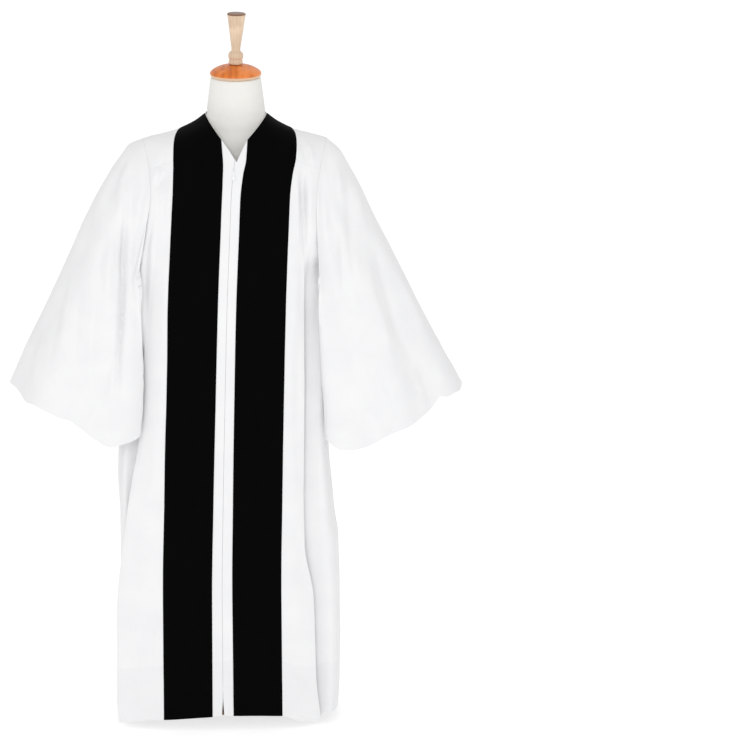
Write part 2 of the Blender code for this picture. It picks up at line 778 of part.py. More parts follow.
def front_yoke_grid(side, front):
    """Outer points of a front yoke, from the front's own top edge to the shoulder seam."""
    bottom = front[-1, BAND_STEPS:]
    velvet = np.linspace(NECK_POINT.out, VELVET_ON_RIDGE, VELVET_STEPS + 1)[:-1]
    beyond = np.linspace(VELVET_ON_RIDGE, ARMHOLE.top_out, len(bottom) - VELVET_STEPS)
    top = np.array([ridge_point(side, out) for out in (*velvet, *beyond)])
    start = neckline(side, bottom[0], YOKE_ROWS)
    end = armhole_edge(side, YOKE_OUT, ARMHOLE_TOP, True, YOKE_ROWS)
    return over_shoulder(bottom, top, start, end, FRONT_ROUNDNESS)


def back_yoke_grid(back):
    """Outer points of the back yoke, from the back's own top edge to the shoulder seams."""
    bottom = back[-1, ::BACK_YOKE_SKIPS]
    count = len(bottom)
    shoulder = count // 3
    outs = np.linspace(ARMHOLE.top_out, NECK_POINT.out, shoulder + 1)
    turns = np.linspace(0, math.pi, count - 2 * shoulder)[1:-1]
    nape = []
    for turn in turns:
        rise = math.sin(turn)
        nape.append(
            (
                NECK_SHIFT - NECK_POINT.out * math.cos(turn),
                NECK_POINT.back + (BACK_NECK.back - NECK_POINT.back) * rise,
                NECK_POINT.height + (BACK_NECK.height - NECK_POINT.height) * rise,
            )
        )
    right = [ridge_point(RIGHT, out) for out in outs]
    left = [ridge_point(LEFT, out) for out in outs[::-1]]
    top = np.array([*right, *nape, *left])
    if len(top) != count:
        raise ValueError("the back yoke's edges don't match")
    start = armhole_edge(RIGHT, BACK_YOKE_SIDE, ARMHOLE_TOP, False, YOKE_ROWS)
    end = armhole_edge(LEFT, BACK_YOKE_SIDE, ARMHOLE_TOP, False, YOKE_ROWS)
    return over_shoulder(bottom, top, start, end, BACK_ROUNDNESS)


def cloth_wall(name, grid, normal, parent):
    """A white piece: the grid is its outer side, and the wall lies inside it."""
    wall(name, grid, grid - normal * CLOTH, white_cloth(), parent)


def share_normals(first, second):
    """Makes two lines of normals that meet at a seam the same."""
    both = first + second
    both /= np.linalg.norm(both, axis=-1, keepdims=True)
    first[:] = both
    second[:] = both


def stand_on_ridge(grid, normal):
    """Turns the normals on the shoulder seam into its own upright plane."""
    on_ridge = np.abs(grid[..., 1] - NECK_POINT.back) < 1e-6
    flat = normal[on_ridge] * (1, 0, 1)
    normal[on_ridge] = flat / np.linalg.norm(flat, axis=1, keepdims=True)


def build_body(parent):
    back = back_grid()
    back_normal = -normals_of(back)
    yoke = back_yoke_grid(back)
    yoke_normal = -normals_of(yoke)
    stand_on_ridge(yoke, yoke_normal)
    edges = []
    for side, name in SIDE_NAMES.items():
        front = front_grid(side)
        front_yoke = front_yoke_grid(side, front)
        edges.append(front[:, 0].copy())
        build_velvet(side, name, front, front_yoke, parent)
        build_tape(side, name, front, parent)
        front_normal = normals_of(front) * side
        front_yoke_normal = normals_of(front_yoke) * side
        stand_on_ridge(front_yoke, front_yoke_normal)
        rows = len(SEAM_ROWS)
        column = 0 if side == RIGHT else -1
        share_normals(front_normal[:rows, -1], back_normal[:rows, column])
        along_edge(front, row=len(front) - 1)
        along_edge(front, column=front.shape[1] - 1)
        along_edge(front_yoke, row=0)
        along_edge(front_yoke, row=YOKE_ROWS - 1)
        along_edge(front_yoke, column=front_yoke.shape[1] - 1)
        cloth_wall("front_" + name, front, front_normal, parent)
        cloth_wall("yoke_front_" + name, front_yoke, front_yoke_normal, parent)
    along_edge(back, row=len(back) - 1)
    along_edge(yoke, row=0)
    along_edge(yoke, row=YOKE_ROWS - 1)
    for grid in (back, yoke):
        along_edge(grid, column=0)
        along_edge(grid, column=grid.shape[1] - 1)
    cloth_wall("back", back, back_normal, parent)
    cloth_wall("yoke_back", yoke, yoke_normal, parent)
    build_zip((edges[0] + edges[1]) / 2, parent)


def build_velvet(side, name, front, yoke, parent):
    """A velvet panel on the front and its yoke, from the points that they share."""
    columns = slice(BAND_STEPS, BAND_STEPS + VELVET_STEPS + 1)
    base = np.concatenate([front[:-1, columns], yoke[:, : VELVET_STEPS + 1]])
    normal = normals_of(base) * side
    base = base.copy()
    along_edge(base, row=len(base) - 1, by=SEAM)
    inner = base + normal * LAID_ON
    outer = base + normal * (LAID_ON + VELVET)
    wall("velvet_" + name, outer, inner, black_velvet(), parent)


def build_tape(side, name, front, parent):
    """The zip's tape behind the front's edge, from the zip's foot to the neck."""
    rows = [row for row in range(len(front)) if front[row, 0, 2] > ZIP_BOTTOM]
    normal = normals_of(front)[rows][:, : BAND_STEPS + 1] * side
    base = front[rows][:, : BAND_STEPS + 1]
    outer = base - normal * (CLOTH + LAID_ON)
    inner = outer - normal * TAPE
    wall("zip_tape_" + name, outer, inner, zip_plastic(), parent)


def build_zip(line, parent):
    """The coil between the fronts, the slider at its top and the pull tab on the slider."""
    low, high = line[-2], line[-1]
    up = (high - low) / np.linalg.norm(high - low)
    tilt = math.atan2(up[1], up[2])

    def on_line(height):
        return low + (high - low) * (height - low[2]) / (high[2] - low[2])

    coil = [point for point in line[:-1] if point[2] > ZIP_BOTTOM]
    coil = np.array([*coil, on_line(COIL_TOP)])
    lean = np.gradient(coil, axis=0)
    outward = np.column_stack([np.zeros(len(coil)), -lean[:, 2], lean[:, 1]])
    outward /= np.linalg.norm(outward, axis=1, keepdims=True)
    half = SLOT - LAID_ON
    front_depth, back_depth = COIL_INSET, CLOTH + LAID_ON + TAPE
    section = (
        (-half, back_depth),
        (-half, front_depth + half * 0.5),
        (-half * 0.5, front_depth),
        (half * 0.5, front_depth),
        (half, front_depth + half * 0.5),
        (half, back_depth),
    )
    vertices = []
    for point, away in zip(coil, outward):
        vertices += [point + (x, 0, 0) - away * depth for x, depth in section]
    count = len(section)
    faces = [list(range(count)), [len(vertices) - 1 - k for k in range(count)]]
    for row in range(len(coil) - 1):
        for k in range(count):
            here, beside = row * count + k, row * count + (k + 1) % count
            faces.append([here, beside, beside + count, here + count])
    finish_mesh("zip_coil", mesh_from("zip_coil", vertices, faces), zip_plastic(), parent)

    plate_front = PULL_THICKNESS / 2 + PULL_CLEARANCE
    stand_off = plate_front + SLIDER_PLATE + LAID_ON
    hinge = on_line(SLIDER_HEIGHT) + outward[-1] * stand_off
    slider = prism("zip_slider", SLIDER_OUTLINE, plate_front, plate_front + SLIDER_PLATE, False)
    bridge = prism("zip_bridge", bridge_outline(plate_front), -BRIDGE_WIDTH / 2, BRIDGE_WIDTH / 2, True)
    combine(slider, bridge, "UNION")
    pull = prism("zip_pull", PULL_OUTLINE, -PULL_THICKNESS / 2, PULL_THICKNESS / 2, False)
    eye = ((-0.0015, -0.00055), (-0.0015, -0.0060), (0.0015, -0.0060), (0.0015, -0.00055))
    combine(pull, prism("zip_pull_eye", eye, -PULL_THICKNESS, PULL_THICKNESS, False), "DIFFERENCE")
    for item in (slider, bridge, pull, bpy.data.objects["zip_pull_eye"]):
        item.parent = parent
        item.location = hinge
        item.rotation_euler = (-tilt, 0, 0)


def bridge_outline(plate_front):
    """The bridge from the side: a bar over the pull tab's eye, with legs down to the coil."""
    top, inside, reach = -0.0023, -0.00115, plate_front + SLIDER_PLATE + LAID_ON * 0.9
    long, short = 0.0044, 0.0033
    return (
        (reach, -long),
        (top + 0.0006, -long),
        (top, -long + 0.0008),
        (top, long - 0.0008),
        (top + 0.0006, long),
        (reach, long),
        (reach, short),
        (inside, short),
        (inside, -short),
        (reach, -short),
    )


def prism(name, outline, low, high, across):
    """A flat piece with an outline, from one depth to another. It faces forward or across."""
    vertices = []
    for depth in (low, high):
        for a, b in outline:
            vertices.append((depth, a, b) if across else (a, depth, b))
    count = len(outline)
    faces = [list(range(count)), list(range(2 * count - 1, count - 1, -1))]
    for k in range(count):
        beside = (k + 1) % count
        faces.append([k, beside, beside + count, k + count])
    return finish_mesh(name, mesh_from(name, vertices, faces), zip_metal(), None, 30)


def combine(target, other, operation):
    """Joins another solid to the target or cuts it out."""
    change = target.modifiers.new(other.name, "BOOLEAN")
    change.operation = operation
    change.solver = "EXACT"
    change.object = other
    other.hide_render = True
    other.display_type = "WIRE"


def armhole_ring(side):
    """Points round an armhole, from the shoulder seam down its front and up its back."""
    lines = []
    for rows, top, forward_side in ((FRONT_ROWS, YOKE_OUT, True), (BACK_ROWS, BACK_YOKE_SIDE, False)):
        low = []
        for height in rows[len(SEAM_ROWS) - 1 : -1]:
            x, forward = armhole_at(side, height, forward_side)
            low.append((x, -forward, height))
        high = armhole_edge(side, top, ARMHOLE_TOP, forward_side, YOKE_ROWS)
        lines.append(np.concatenate([low, high]))
    front, back = lines
    ring = np.concatenate([front[::-1], back[1:-1]])
    halfway = (ring + np.roll(ring, -1, axis=0)) / 2
    return np.stack([ring, halfway], axis=1).reshape(-1, 3)


def sleeve_ring(side, along):
    """One ring of a sleeve, from its outer end over the front to its inner end and back."""
    ring = SLEEVES[side].at(along)
    outer = np.array((ring.out_x, 0, ring.out_z))
    inner = np.array((ring.in_x, ring.in_forward, ring.in_z))
    seam = np.array((ring.side_x, -SLEEVE_SEAM_BACK, ring.side_z))
    nodes = [outer]
    for part, deep, level, hang in FRONT_BULGE:
        x, _, z = outer + (inner - outer) * part
        nodes.append((x, ring.front * deep + ring.in_forward * level, z - ring.dip * hang))
    nodes.append(inner)
    for part, forward in RETURN_SHAPE:
        x, _, z = inner + (seam - inner) * part
        nodes.append((x, ring.in_forward * forward, z))
    nodes.append(seam)
    for part, deep, hang in BACK_BULGE:
        x, _, z = seam + (outer - seam) * part
        nodes.append((x, -ring.back * deep, z - ring.dip * hang))
    points = closed_curve(nodes, 1 + len(FRONT_BULGE) + 1 + len(RETURN_SHAPE))
    return points * (side, -1, 1)


def closed_curve(nodes, turn_node):
    """Points on a closed smooth curve, half of them on each side of the turning node."""
    nodes = np.array(nodes, float)
    looped = np.concatenate([nodes[-1:], nodes, nodes[:2]])
    dense, marks = [], []
    for k in range(1, len(nodes) + 1):
        before, start, end, after = looped[k - 1 : k + 3]
        marks.append(len(dense))
        for t in np.arange(CURVE_STEPS) / CURVE_STEPS:
            bend = 2 * before - 5 * start + 4 * end - after
            twist = 3 * start - before - 3 * end + after
            dense.append(start + 0.5 * t * ((end - before) + t * (bend + t * twist)))
    dense.append(nodes[0])
    dense = np.array(dense)
    lengths = np.linalg.norm(np.diff(dense, axis=0), axis=1)
    total = np.concatenate([[0], np.cumsum(lengths)])
    turn = total[marks[turn_node]]
    half = 2 * SLEEVE_QUARTER
    first = np.linspace(0, turn, half + 1)[:-1]
    second = np.linspace(turn, total[-1], half + 1)[:-1]
    at = np.concatenate([first, second])
    return np.column_stack([np.interp(at, total, dense[:, k]) for k in range(3)])


def fold_height(side, along, quarters):
    """How far a sleeve's surface is moved in or out by its folds."""
    moved = np.zeros(len(quarters))
    for head, cuff, width, height in SLEEVE_FOLDS[side]:
        place = head + (cuff - head) * along
        away = (quarters - place + 2) % 4 - 2
        moved += height * np.exp(-((away / width) ** 2))
    return moved * (0.25 + 0.75 * along) * ease(along, 0, 0.15)


def sleeve_grid(side):
    """Outer points of a sleeve, ring by ring from its head to its cuff."""
    head = armhole_ring(side) + (side * SEAM, 0, 0)
    alongs = list(SLEEVES[side].rows[:, 0])
    rings = [head]
    quarters = np.arange(4 * SLEEVE_QUARTER) / SLEEVE_QUARTER
    for along in alongs:
        ring = sleeve_ring(side, along)
        tangent = np.roll(ring, -1, axis=0) - np.roll(ring, 1, axis=0)
        down = np.array((SLEEVE_FLARE * side, 0, -1.0))
        outward = np.cross(tangent, down) * side
        outward /= np.linalg.norm(outward, axis=1, keepdims=True)
        rings.append(ring + outward * fold_height(side, along, quarters)[:, None])
    return np.array(rings)


def build_sleeves(parent):
    for side, name in SIDE_NAMES.items():
        grid = sleeve_grid(side)
        normal = normals_of(grid, around=True) * side
        flat = normal[0].copy()
        flat[:, 0] = 0
        normal[0] = flat / np.linalg.norm(flat, axis=1, keepdims=True)
        wall("sleeve_" + name, grid, grid - normal * CLOTH, white_cloth(), parent, around=True)


def build_torso(parent):
    """The form's torso and neck, closed at the neck's slanted top and flat underneath."""
    heights = TORSO.rows[:, 0]
    turns = np.arange(TORSO_AROUND) * 2 * math.pi / TORSO_AROUND
    vertices = []
    for height in heights:
        size = TORSO.at(height)
        lean = math.tan(NECK_LEAN) * ease(height, 1.39, NECK_TOP)
        for turn in turns:
            deep = size.front if math.sin(turn) < 0 else size.back
            y = deep * math.sin(turn)
            vertices.append((FORM_X + size.half * math.cos(turn), y, height + lean * y))
    rings = len(heights)
    faces = []
    for ring in range(rings - 1):
        for k in range(TORSO_AROUND):
            beside = (k + 1) % TORSO_AROUND
            low, high = ring * TORSO_AROUND, (ring + 1) * TORSO_AROUND
            faces.append([low + k, low + beside, high + beside, high + k])
    faces.append(list(range(TORSO_AROUND)))
    faces.append([(rings - 1) * TORSO_AROUND + k for k in range(TORSO_AROUND)])
    return finish_mesh("form_torso", mesh_from("form_torso", vertices, faces), form_jersey(), parent)


def turned(name, profile, around, finish, parent, stretch=1):
    """A piece turned round its own upright axis from a profile of radius and height."""
    vertices, rings = [], []
    for radius, height in profile:
        if radius == 0:
            rings.append([len(vertices)])
            vertices.append((0, 0, height))
            continue
        rings.append(list(range(len(vertices), len(vertices) + around)))
        for k in range(around):
            turn = 2 * math.pi * k / around
            wide = 1 + (stretch - 1) * max(radius - COLLAR_RADIUS, 0) / BASE_RADIUS
            vertices.append((radius * wide * math.cos(turn), radius * math.sin(turn), height))
    faces = []
    for low, high in zip(rings, rings[1:]):
        for k in range(around):
            beside = (k + 1) % around
            ring = [low[k % len(low)], low[beside % len(low)], high[beside % len(high)], high[k % len(high)]]
            faces.append(list(dict.fromkeys(ring)))
    return finish_mesh(name, mesh_from(name, vertices, faces), finish, parent, 40)


def build_form(parent):
    build_torso(parent)
    crown = bpy.data.objects.new("form_crown_axis", None)
    bpy.context.scene.collection.objects.link(crown)
    crown.parent = parent
    crown.location = (FORM_X, 0, NECK_TOP)
    crown.rotation_euler = (NECK_LEAN, 0, 0)
    cap = turned("form_cap", CAP_PROFILE, 28, cap_wood(), crown)
    cap.location = (0, 0, LAID_ON)
    handle = turned("form_handle", HANDLE_PROFILE, 20, handle_wood(), crown)
    handle.location = (0, 0, CAP_PROFILE[-1][1] + LAID_ON + HANDLE_LIFT)
    handle.rotation_euler = (0, HANDLE_LEAN, 0)
    top = BASE_THICKNESS + COLLAR_HEIGHT
    base_profile = (
        (0, 0),
        (BASE_RADIUS - 0.002, 0),
        (BASE_RADIUS, 0.002),
        (BASE_RADIUS, BASE_THICKNESS - 0.005),
        (BASE_RADIUS - 0.004, BASE_THICKNESS - 0.001),
        (BASE_RADIUS - 0.010, BASE_THICKNESS),
        (COLLAR_RADIUS + 0.004, BASE_THICKNESS),
        (COLLAR_RADIUS, BASE_THICKNESS + 0.004),
        (COLLAR_RADIUS - 0.003, top - 0.002),
        (COLLAR_RADIUS - 0.006, top),
        (0, top),
    )
    base = turned("form_base", base_profile, 36, base_wood(), parent, BASE_STRETCH)
    base.location = (FORM_X, POLE_Y, 0)
    length = TORSO_BOTTOM - top - 2 * LAID_ON
    pole_profile = ((0, 0), (POLE_RADIUS, 0), (POLE_RADIUS, length), (0, length))
    pole = turned("form_pole", pole_profile, 20, base_wood(), parent)
    pole.location = (FORM_X, POLE_Y, top + LAID_ON)


def clear_scene():
    for item in list(bpy.data.objects):
        bpy.data.objects.remove(item, do_unlink=True)


def main():
    clear_scene()
    stand = bpy.data.objects.new("robe_on_form", None)
    bpy.context.scene.collection.objects.link(stand)
    stand.location = STAND_PLACE
    build_body(stand)
    build_sleeves(stand)
    build_form(stand)


main()
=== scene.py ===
import math
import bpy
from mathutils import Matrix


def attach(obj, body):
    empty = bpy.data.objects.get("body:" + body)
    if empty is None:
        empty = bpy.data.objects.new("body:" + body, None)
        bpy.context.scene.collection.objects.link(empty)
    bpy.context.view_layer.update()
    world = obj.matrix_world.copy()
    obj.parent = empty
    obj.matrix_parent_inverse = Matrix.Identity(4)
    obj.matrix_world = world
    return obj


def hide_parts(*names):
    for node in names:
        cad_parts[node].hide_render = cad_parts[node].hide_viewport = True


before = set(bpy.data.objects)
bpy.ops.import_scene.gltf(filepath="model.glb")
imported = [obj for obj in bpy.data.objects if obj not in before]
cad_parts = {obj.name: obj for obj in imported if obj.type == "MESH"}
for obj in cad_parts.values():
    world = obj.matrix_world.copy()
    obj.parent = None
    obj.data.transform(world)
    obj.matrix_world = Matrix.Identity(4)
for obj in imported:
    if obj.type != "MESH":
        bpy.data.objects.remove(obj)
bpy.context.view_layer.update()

from types import SimpleNamespace

import bmesh
import bpy
import numpy as np
from mathutils import Vector, noise

# The camera stands in front, a little above the neck, and looks slightly down
view = {
    "place": (0.0003, -8.0063, 2.3105),
    "pitch": math.radians(-10.8232),
    "yaw": math.radians(-2.2269),
    "lens": 174.045,
    "sensor": 36.0,
}


def setCamera():
    lens = bpy.data.cameras.new("camera")
    lens.lens = view["lens"]
    lens.sensor_width = view["sensor"]
    lens.clip_end = 60
    camera = bpy.data.objects.new("camera", lens)
    bpy.context.scene.collection.objects.link(camera)
    camera.location = view["place"]
    camera.rotation_euler = (math.pi / 2 + view["pitch"], 0, view["yaw"])
    bpy.context.scene.camera = camera


setCamera()
print("camera placed")

right, left = -1, 1
sideNames = {right: "right", left: "left"}
standPlace = np.array((0.0003, -0.0063, 0.0))  # where the whole stands, so that its box is centred

# The cut of the robe in metres: cloth, seams, heights, widths and reaches
cut = {
    "cloth": 0.0013,
    "velvet": 0.0014,
    "tape": 0.0010,
    "seam": 0.00012,
    "laidOn": 0.0003,
    "vBottom": 1.276,
    "yokeIn": 1.324,
    "yokeOut": 1.256,
    "backYokeMiddle": 1.243,
    "backYokeSide": 1.226,
    "armholeTop": 1.3175,
    "underarm": 1.040,
    "sideHem": 0.0095,
    "backHemRise": 0.008,
    "hemLevel": 0.03,
    "hemDepth": 0.125,
    "zipBottom": 0.080,
    "velvetWidth": 0.1095,
    "slot": 0.00025,
    "slotAtHem": 0.0030,
    "parted": (0.020, 0.080),
    "neckOut": 0.068,
    "neckBack": 0.004,
    "neckHeight": 1.372,
    "napeBack": 0.066,
    "napeHeight": 1.381,
    "neckShift": 0.003,
    "armholeTopOut": 0.203,
    "armholeLowOut": 0.215,
    "armholeFront": 0.092,
    "armholeBack": 0.091,
    "armholeFullness": 3.0,
    "armholeSwell": 0.008,
    "frontRoundness": 0.45,
    "backRoundness": 0.85,
    "frontHollow": 0.026,
    "backHollow": 0.014,
    "turnRadius": 0.004,
    "pleatFade": {right: (0.76, 0.94), left: (0.84, 1.20)},
    "seamFade": 0.05,
    "armholeHold": 0.025,
    "sleeveHold": 0.05,
    "plainRounding": (6.0, 3.2),
    "plainUpTo": (1.045, 1.120),
    "panelRounding": 2.5,
    "fluteLean": 0.80,
    "backLengths": (0.430, 0.700),
    "backDrift": -0.020,
    "backReach": 0.985,
    "liftedBeyond": (0.178, 0.192),
    "liftedBelow": (0.01, 0.25),
    "sideLift": 0.016,
    "velvetOnRidge": 0.121,
    "sleeveSeamBack": 0.004,
    "sleeveFlare": 0.3,
    "foldAtHead": 0.25,
    "foldsFrom": 0.15,
    "cuffWavesFrom": 0.70,
    "cuffFaces": (-0.02, 0.03),
}

# How finely each piece is meshed. Columns go across a piece, rows up it.
mesh = {
    "band": 6,
    "velvet": 24,
    "panel": 10,
    "pleat": 6,
    "flute": 18,
    "seamColumns": 10,
    "sleeveQuarter": 55,
    "curve": 12,
    "rowHeight": 0.009,
    "armholeRow": 11,
    "yokeRow": 11,
    "sleeveRows": 92,
    "sections": 210,
    "sectionSpan": (0.006, 1.33),
}


# Rows of sizes with named columns, read at any place along the first column. They are written in
# millimetres, apart from columns that have another number of units per metre.
class Table:
    def __init__(self, columns, *rows, per=1000):
        self.columns = columns.split()
        self.rows = np.array(rows, float) / per

    def at(self, place):
        places = self.rows[:, 0]
        found = [smooth(place, places, self.rows[:, k]) for k in range(1, len(self.columns))]
        return SimpleNamespace(**dict(zip(self.columns[1:], found)))


# The value at a place on a smooth curve through the rows, which never goes past them
def smooth(place, places, values):
    gaps = np.diff(places)
    slopes = np.diff(values) / gaps
    product = slopes[:-1] * slopes[1:]
    total = slopes[:-1] + slopes[1:]
    inner = np.where(product > 0, 2 * product / np.where(total == 0, 1, total), 0)
    tangents = np.concatenate([slopes[:1], inner, slopes[-1:]])
    place = np.clip(place, places[0], places[-1])
    k = np.minimum(np.searchsorted(places, place, side="right") - 1, len(gaps) - 1)
    t = (place - places[k]) / gaps[k]
    return blend(t, values[k], gaps[k] * tangents[k], values[k + 1], gaps[k] * tangents[k + 1])


# Part of the way between two values, with the slopes that the curve leaves and arrives with
def blend(t, start, leaving, end, arriving):
    first = (1 + 2 * t) * (1 - t) ** 2 * start + t * (1 - t) ** 2 * leaving
    return first + t * t * (3 - 2 * t) * end + t * t * (t - 1) * arriving


def ease(value, start, end):
    t = np.clip((value - start) / (end - start), 0, 1)
    return t * t * (3 - 2 * t)


def unit(vectors):
    return vectors / np.linalg.norm(vectors, axis=-1, keepdims=True)


# How far along a line of points each of them lies, and the points at given lengths along it
def walked(points):
    return np.concatenate([[0], np.cumsum(np.linalg.norm(np.diff(points, axis=0), axis=1))])


def pointsAt(at, lengths, points):
    return np.column_stack([np.interp(at, lengths, column) for column in points.T])


# The line where the fronts meet: it drifts to the wearer's right as it falls. The band is half
# of the white strip between the velvets.
centreLine = Table(
    "height x forward band",
    (10, -35.5, 150, 23.5),
    (300, -35.5, 148, 22.5),
    (520, -31.6, 146, 21.5),
    (750, -25.8, 143, 20.5),
    (970, -19.3, 140, 20),
    (1120, -12.5, 136, 20),
    (1200, -8.8, 129, 20),
    (1250, -4.5, 118, 22),
    (1283, -0.8, 106, 25.5),
    (1330, -0.8, 83, 29),
)

# The pleat beside each velvet: how far out its folded edge and the side seam lie from the
# centre line, how far forward they are, and how far the cloth is tucked back under the edge.
pleats = {
    right: Table(
        "height edge edgeForward tuck side sideForward",
        (10, 235, 118, 46, 229, 20),
        (66, 238.5, 118, 50, 233, 20),
        (260, 234, 118, 48, 231, 20),
        (355, 227.5, 118, 42, 229, 18),
        (480, 214.8, 118, 30, 231, 16),
        (571, 203, 117, 22, 236.5, 14),
        (684, 186.3, 116, 16, 237, 12),
        (797, 181.3, 115, 15, 231, 10),
        (909, 177.5, 114, 14, 224, 6),
        (998, 172, 112, 12, 215, 2),
        (1110, 166.7, 108, 10, 203, 0),
        (1210, 166, 92, 8, 203, 0),
        (1260, 165, 78, 8, 203, 0),
        (1330, 165, 50, 8, 203, 0),
    ),
    left: Table(
        "height edge edgeForward tuck side sideForward",
        (10, 220.5, 122, 30, 260, 40),
        (110, 212, 122, 30, 265, 40),
        (200, 207.5, 121, 28, 266.5, 38),
        (293, 205, 120, 26, 266, 36),
        (420, 183.5, 119, 20, 262, 32),
        (485, 181, 119, 18, 250, 28),
        (681, 177.5, 117, 16, 234, 18),
        (797, 175, 116, 15, 236, 12),
        (906, 172, 114, 14, 235, 6),
        (998, 168, 112, 12, 233, 2),
        (1110, 164, 108, 10, 226, 0),
        (1210, 163.5, 92, 8, 220, 0),
        (1260, 163, 78, 8, 220, 0),
        (1330, 163, 50, 8, 220, 0),
    ),
}

# The stretch from under a pleat out to the side seam: part of the way out and part of the way back
pleatReturn = ((0.42, 0), (0.82, 0.07), (1, 1))

# Hem height by distance from the centre line. The form's chest lifts it in the middle.
hems = {
    right: Table(
        "distance height",
        (0, 33),
        (110, 24),
        (175, 19),
        (240, 1000 * cut["sideHem"]),
    ),
    left: Table(
        "distance height",
        (0, 33),
        (130, 29.5),
        (180, 13),
        (270, 1000 * cut["sideHem"]),
    ),
}

# Heights of the rows of points, where they meet a side seam and then an armhole
seamRows = (cut["sideHem"], 0.0615, 0.240, 0.400, 0.560, 0.710, 0.840, 0.950, cut["underarm"])
frontRows = (*seamRows, 1.075, 1.120, 1.165, 1.210, cut["yokeOut"])
backRows = (*seamRows, 1.075, 1.115, 1.155, 1.192, cut["backYokeSide"])

# The back's plain outline: how far back it reaches, and how square its corners are
backLine = Table(
    "height back square",
    (10, 150, 2.7),
    (400, 142, 2.7),
    (800, 132, 2.6),
    (1040, 124, 2.5),
    (1150, 120, 2.4),
    (1243, 112, 2.2),
    per=(1000, 1000, 1),
)

# The flutes that fall from the back yoke: place from the wearer's right seam to the left one,
# and depth at the hem in millimetres
flutes = (
    (0.112, 12),
    (0.188, 16),
    (0.268, 19),
    (0.342, 16),
    (0.424, 20),
    (0.500, 18),
    (0.580, 21),
    (0.655, 17),
    (0.735, 19),
    (0.812, 16),
    (0.890, 12),
)

# A flute's depth, as a share of its depth at the hem, is the sum of what it gains down each
# stretch of the back
fluteGains = Table(
    "top bottom share",
    (cut["backYokeMiddle"], 1.0, 0.45),
    (1.1, 0.1, 0.55),
    per=1,
)

# Height of the shoulder ridge by distance from the middle
ridgeLine = Table(
    "out height",
    (0.068, cut["neckHeight"]),
    (0.091, 1.3555),
    (0.122, 1.3400),
    (0.165, 1.3270),
    (0.203, cut["armholeTop"]),
    per=1,
)

# A sleeve from its head to its cuff. Each row is one ring, and x is counted out from the middle:
# its outer end, its inner end in front of the body, its seam beside the body, how far forward the
# inner end lies, how deep the front and back bulge, and how far its front hangs below the ends.
sleeveUnits = (1,) + (1000,) * 10
sleeves = {
    right: Table(
        "along outX outZ inX inZ inForward sideX sideZ front back dip",
        (0.08, 240, 1299, 214, 1035, 125, 244, 1024, 98, 104, 0),
        (0.20, 280, 1243, 209, 995, 128, 262, 990, 104, 112, 2),
        (0.35, 326, 1157, 207, 935, 130, 272, 938, 122, 116, 8),
        (0.50, 374, 1055, 205, 870, 130, 280, 883, 134, 118, 14),
        (0.66, 425, 948, 203, 805, 129, 284, 823, 141, 116, 20),
        (0.83, 470, 858, 204, 740, 130, 286, 760, 145, 114, 28),
        (1.00, 508, 770, 208, 679, 132, 288, 698, 147, 112, 34),
        per=sleeveUnits,
    ),
    left: Table(
        "along outX outZ inX inZ inForward sideX sideZ front back dip",
        (0.08, 236, 1283, 184, 1035, 120, 216, 1024, 98, 104, 0),
        (0.20, 272, 1220, 185, 995, 122, 226, 990, 108, 112, 2),
        (0.35, 318, 1126, 187, 935, 122, 233, 938, 122, 116, 8),
        (0.50, 368, 1028, 190, 870, 119, 238, 883, 132, 118, 14),
        (0.66, 420, 922, 193, 805, 118, 244, 823, 138, 116, 28),
        (0.83, 466, 838, 197, 740, 117, 252, 760, 141, 114, 42),
        (1.00, 506, 764, 200, 670, 117, 258, 696, 143, 112, 54),
        per=sleeveUnits,
    ),
}

# A ring's shape: along its front from the outer end to the inner one (part of the way, shares of
# the front's depth, the inner end's and the dip), from the inner end to the seam (part of the
# way, share of how far forward), and along its back to the outer end (part, depth, dip)
frontBulge = (
    (0.06, 0.42, 0.00, 0.05),
    (0.20, 0.74, 0.00, 0.30),
    (0.45, 0.96, 0.00, 0.75),
    (0.70, 1.00, 0.00, 1.00),
    (0.90, 0.55, 0.46, 0.75),
)
returnShape = ((0.36, 0.82), (0.74, 0.46))
backBulge = (
    (0.10, 0.42, 0.10),
    (0.30, 0.84, 0.50),
    (0.55, 1.00, 0.90),
    (0.80, 0.78, 0.60),
    (0.95, 0.34, 0.20),
)

# Folds down a sleeve: where each lies round it at the head and at the cuff, in quarter turns from
# the outer end over the front, its half width in quarter turns, and its height at the cuff in
# millimetres (a trough is negative)
sleeveFolds = {
    right: (
        (0.34, 0.22, 0.16, -9),
        (0.66, 0.50, 0.15, 8),
        (0.92, 0.86, 0.15, -7),
        (1.16, 1.22, 0.15, 11),
        (1.44, 1.56, 0.14, -22),
        (2.42, 2.36, 0.20, -10),
        (2.80, 2.78, 0.18, 10),
        (3.16, 3.22, 0.18, -11),
        (3.52, 3.62, 0.16, 8),
    ),
    left: (
        (0.30, 0.26, 0.14, 7),
        (0.54, 0.50, 0.15, -10),
        (0.80, 0.78, 0.15, 11),
        (1.08, 1.08, 0.14, -10),
        (1.36, 1.40, 0.15, 10),
        (2.44, 2.40, 0.20, -11),
        (2.82, 2.82, 0.18, 9),
        (3.20, 3.20, 0.18, -10),
        (3.56, 3.58, 0.16, 9),
    ),
}

# Waves in a cuff's edge, in front and behind: where each lies across, its half width and how far
# it lifts the edge, in millimetres
ahead, behind = -1, 1
cuffWaves = {
    right: {
        ahead: ((-470, 14, -9), (-370, 16, 6), (-322, 14, -4), (-286, 32, -17)),
        behind: ((-450, 18, -6), (-390, 22, 8), (-330, 18, -5)),
    },
    left: {
        ahead: ((502, 12, -8), (452, 12, 13), (342, 36, 7)),
        behind: ((460, 16, -7), (400, 20, 9), (330, 22, -5)),
    },
}


def finer(rows, counts):
    parts = [rows[k] + (rows[k + 1] - rows[k]) * np.arange(n) / n for k, n in enumerate(counts)]
    return np.concatenate([*parts, rows[-1:]])


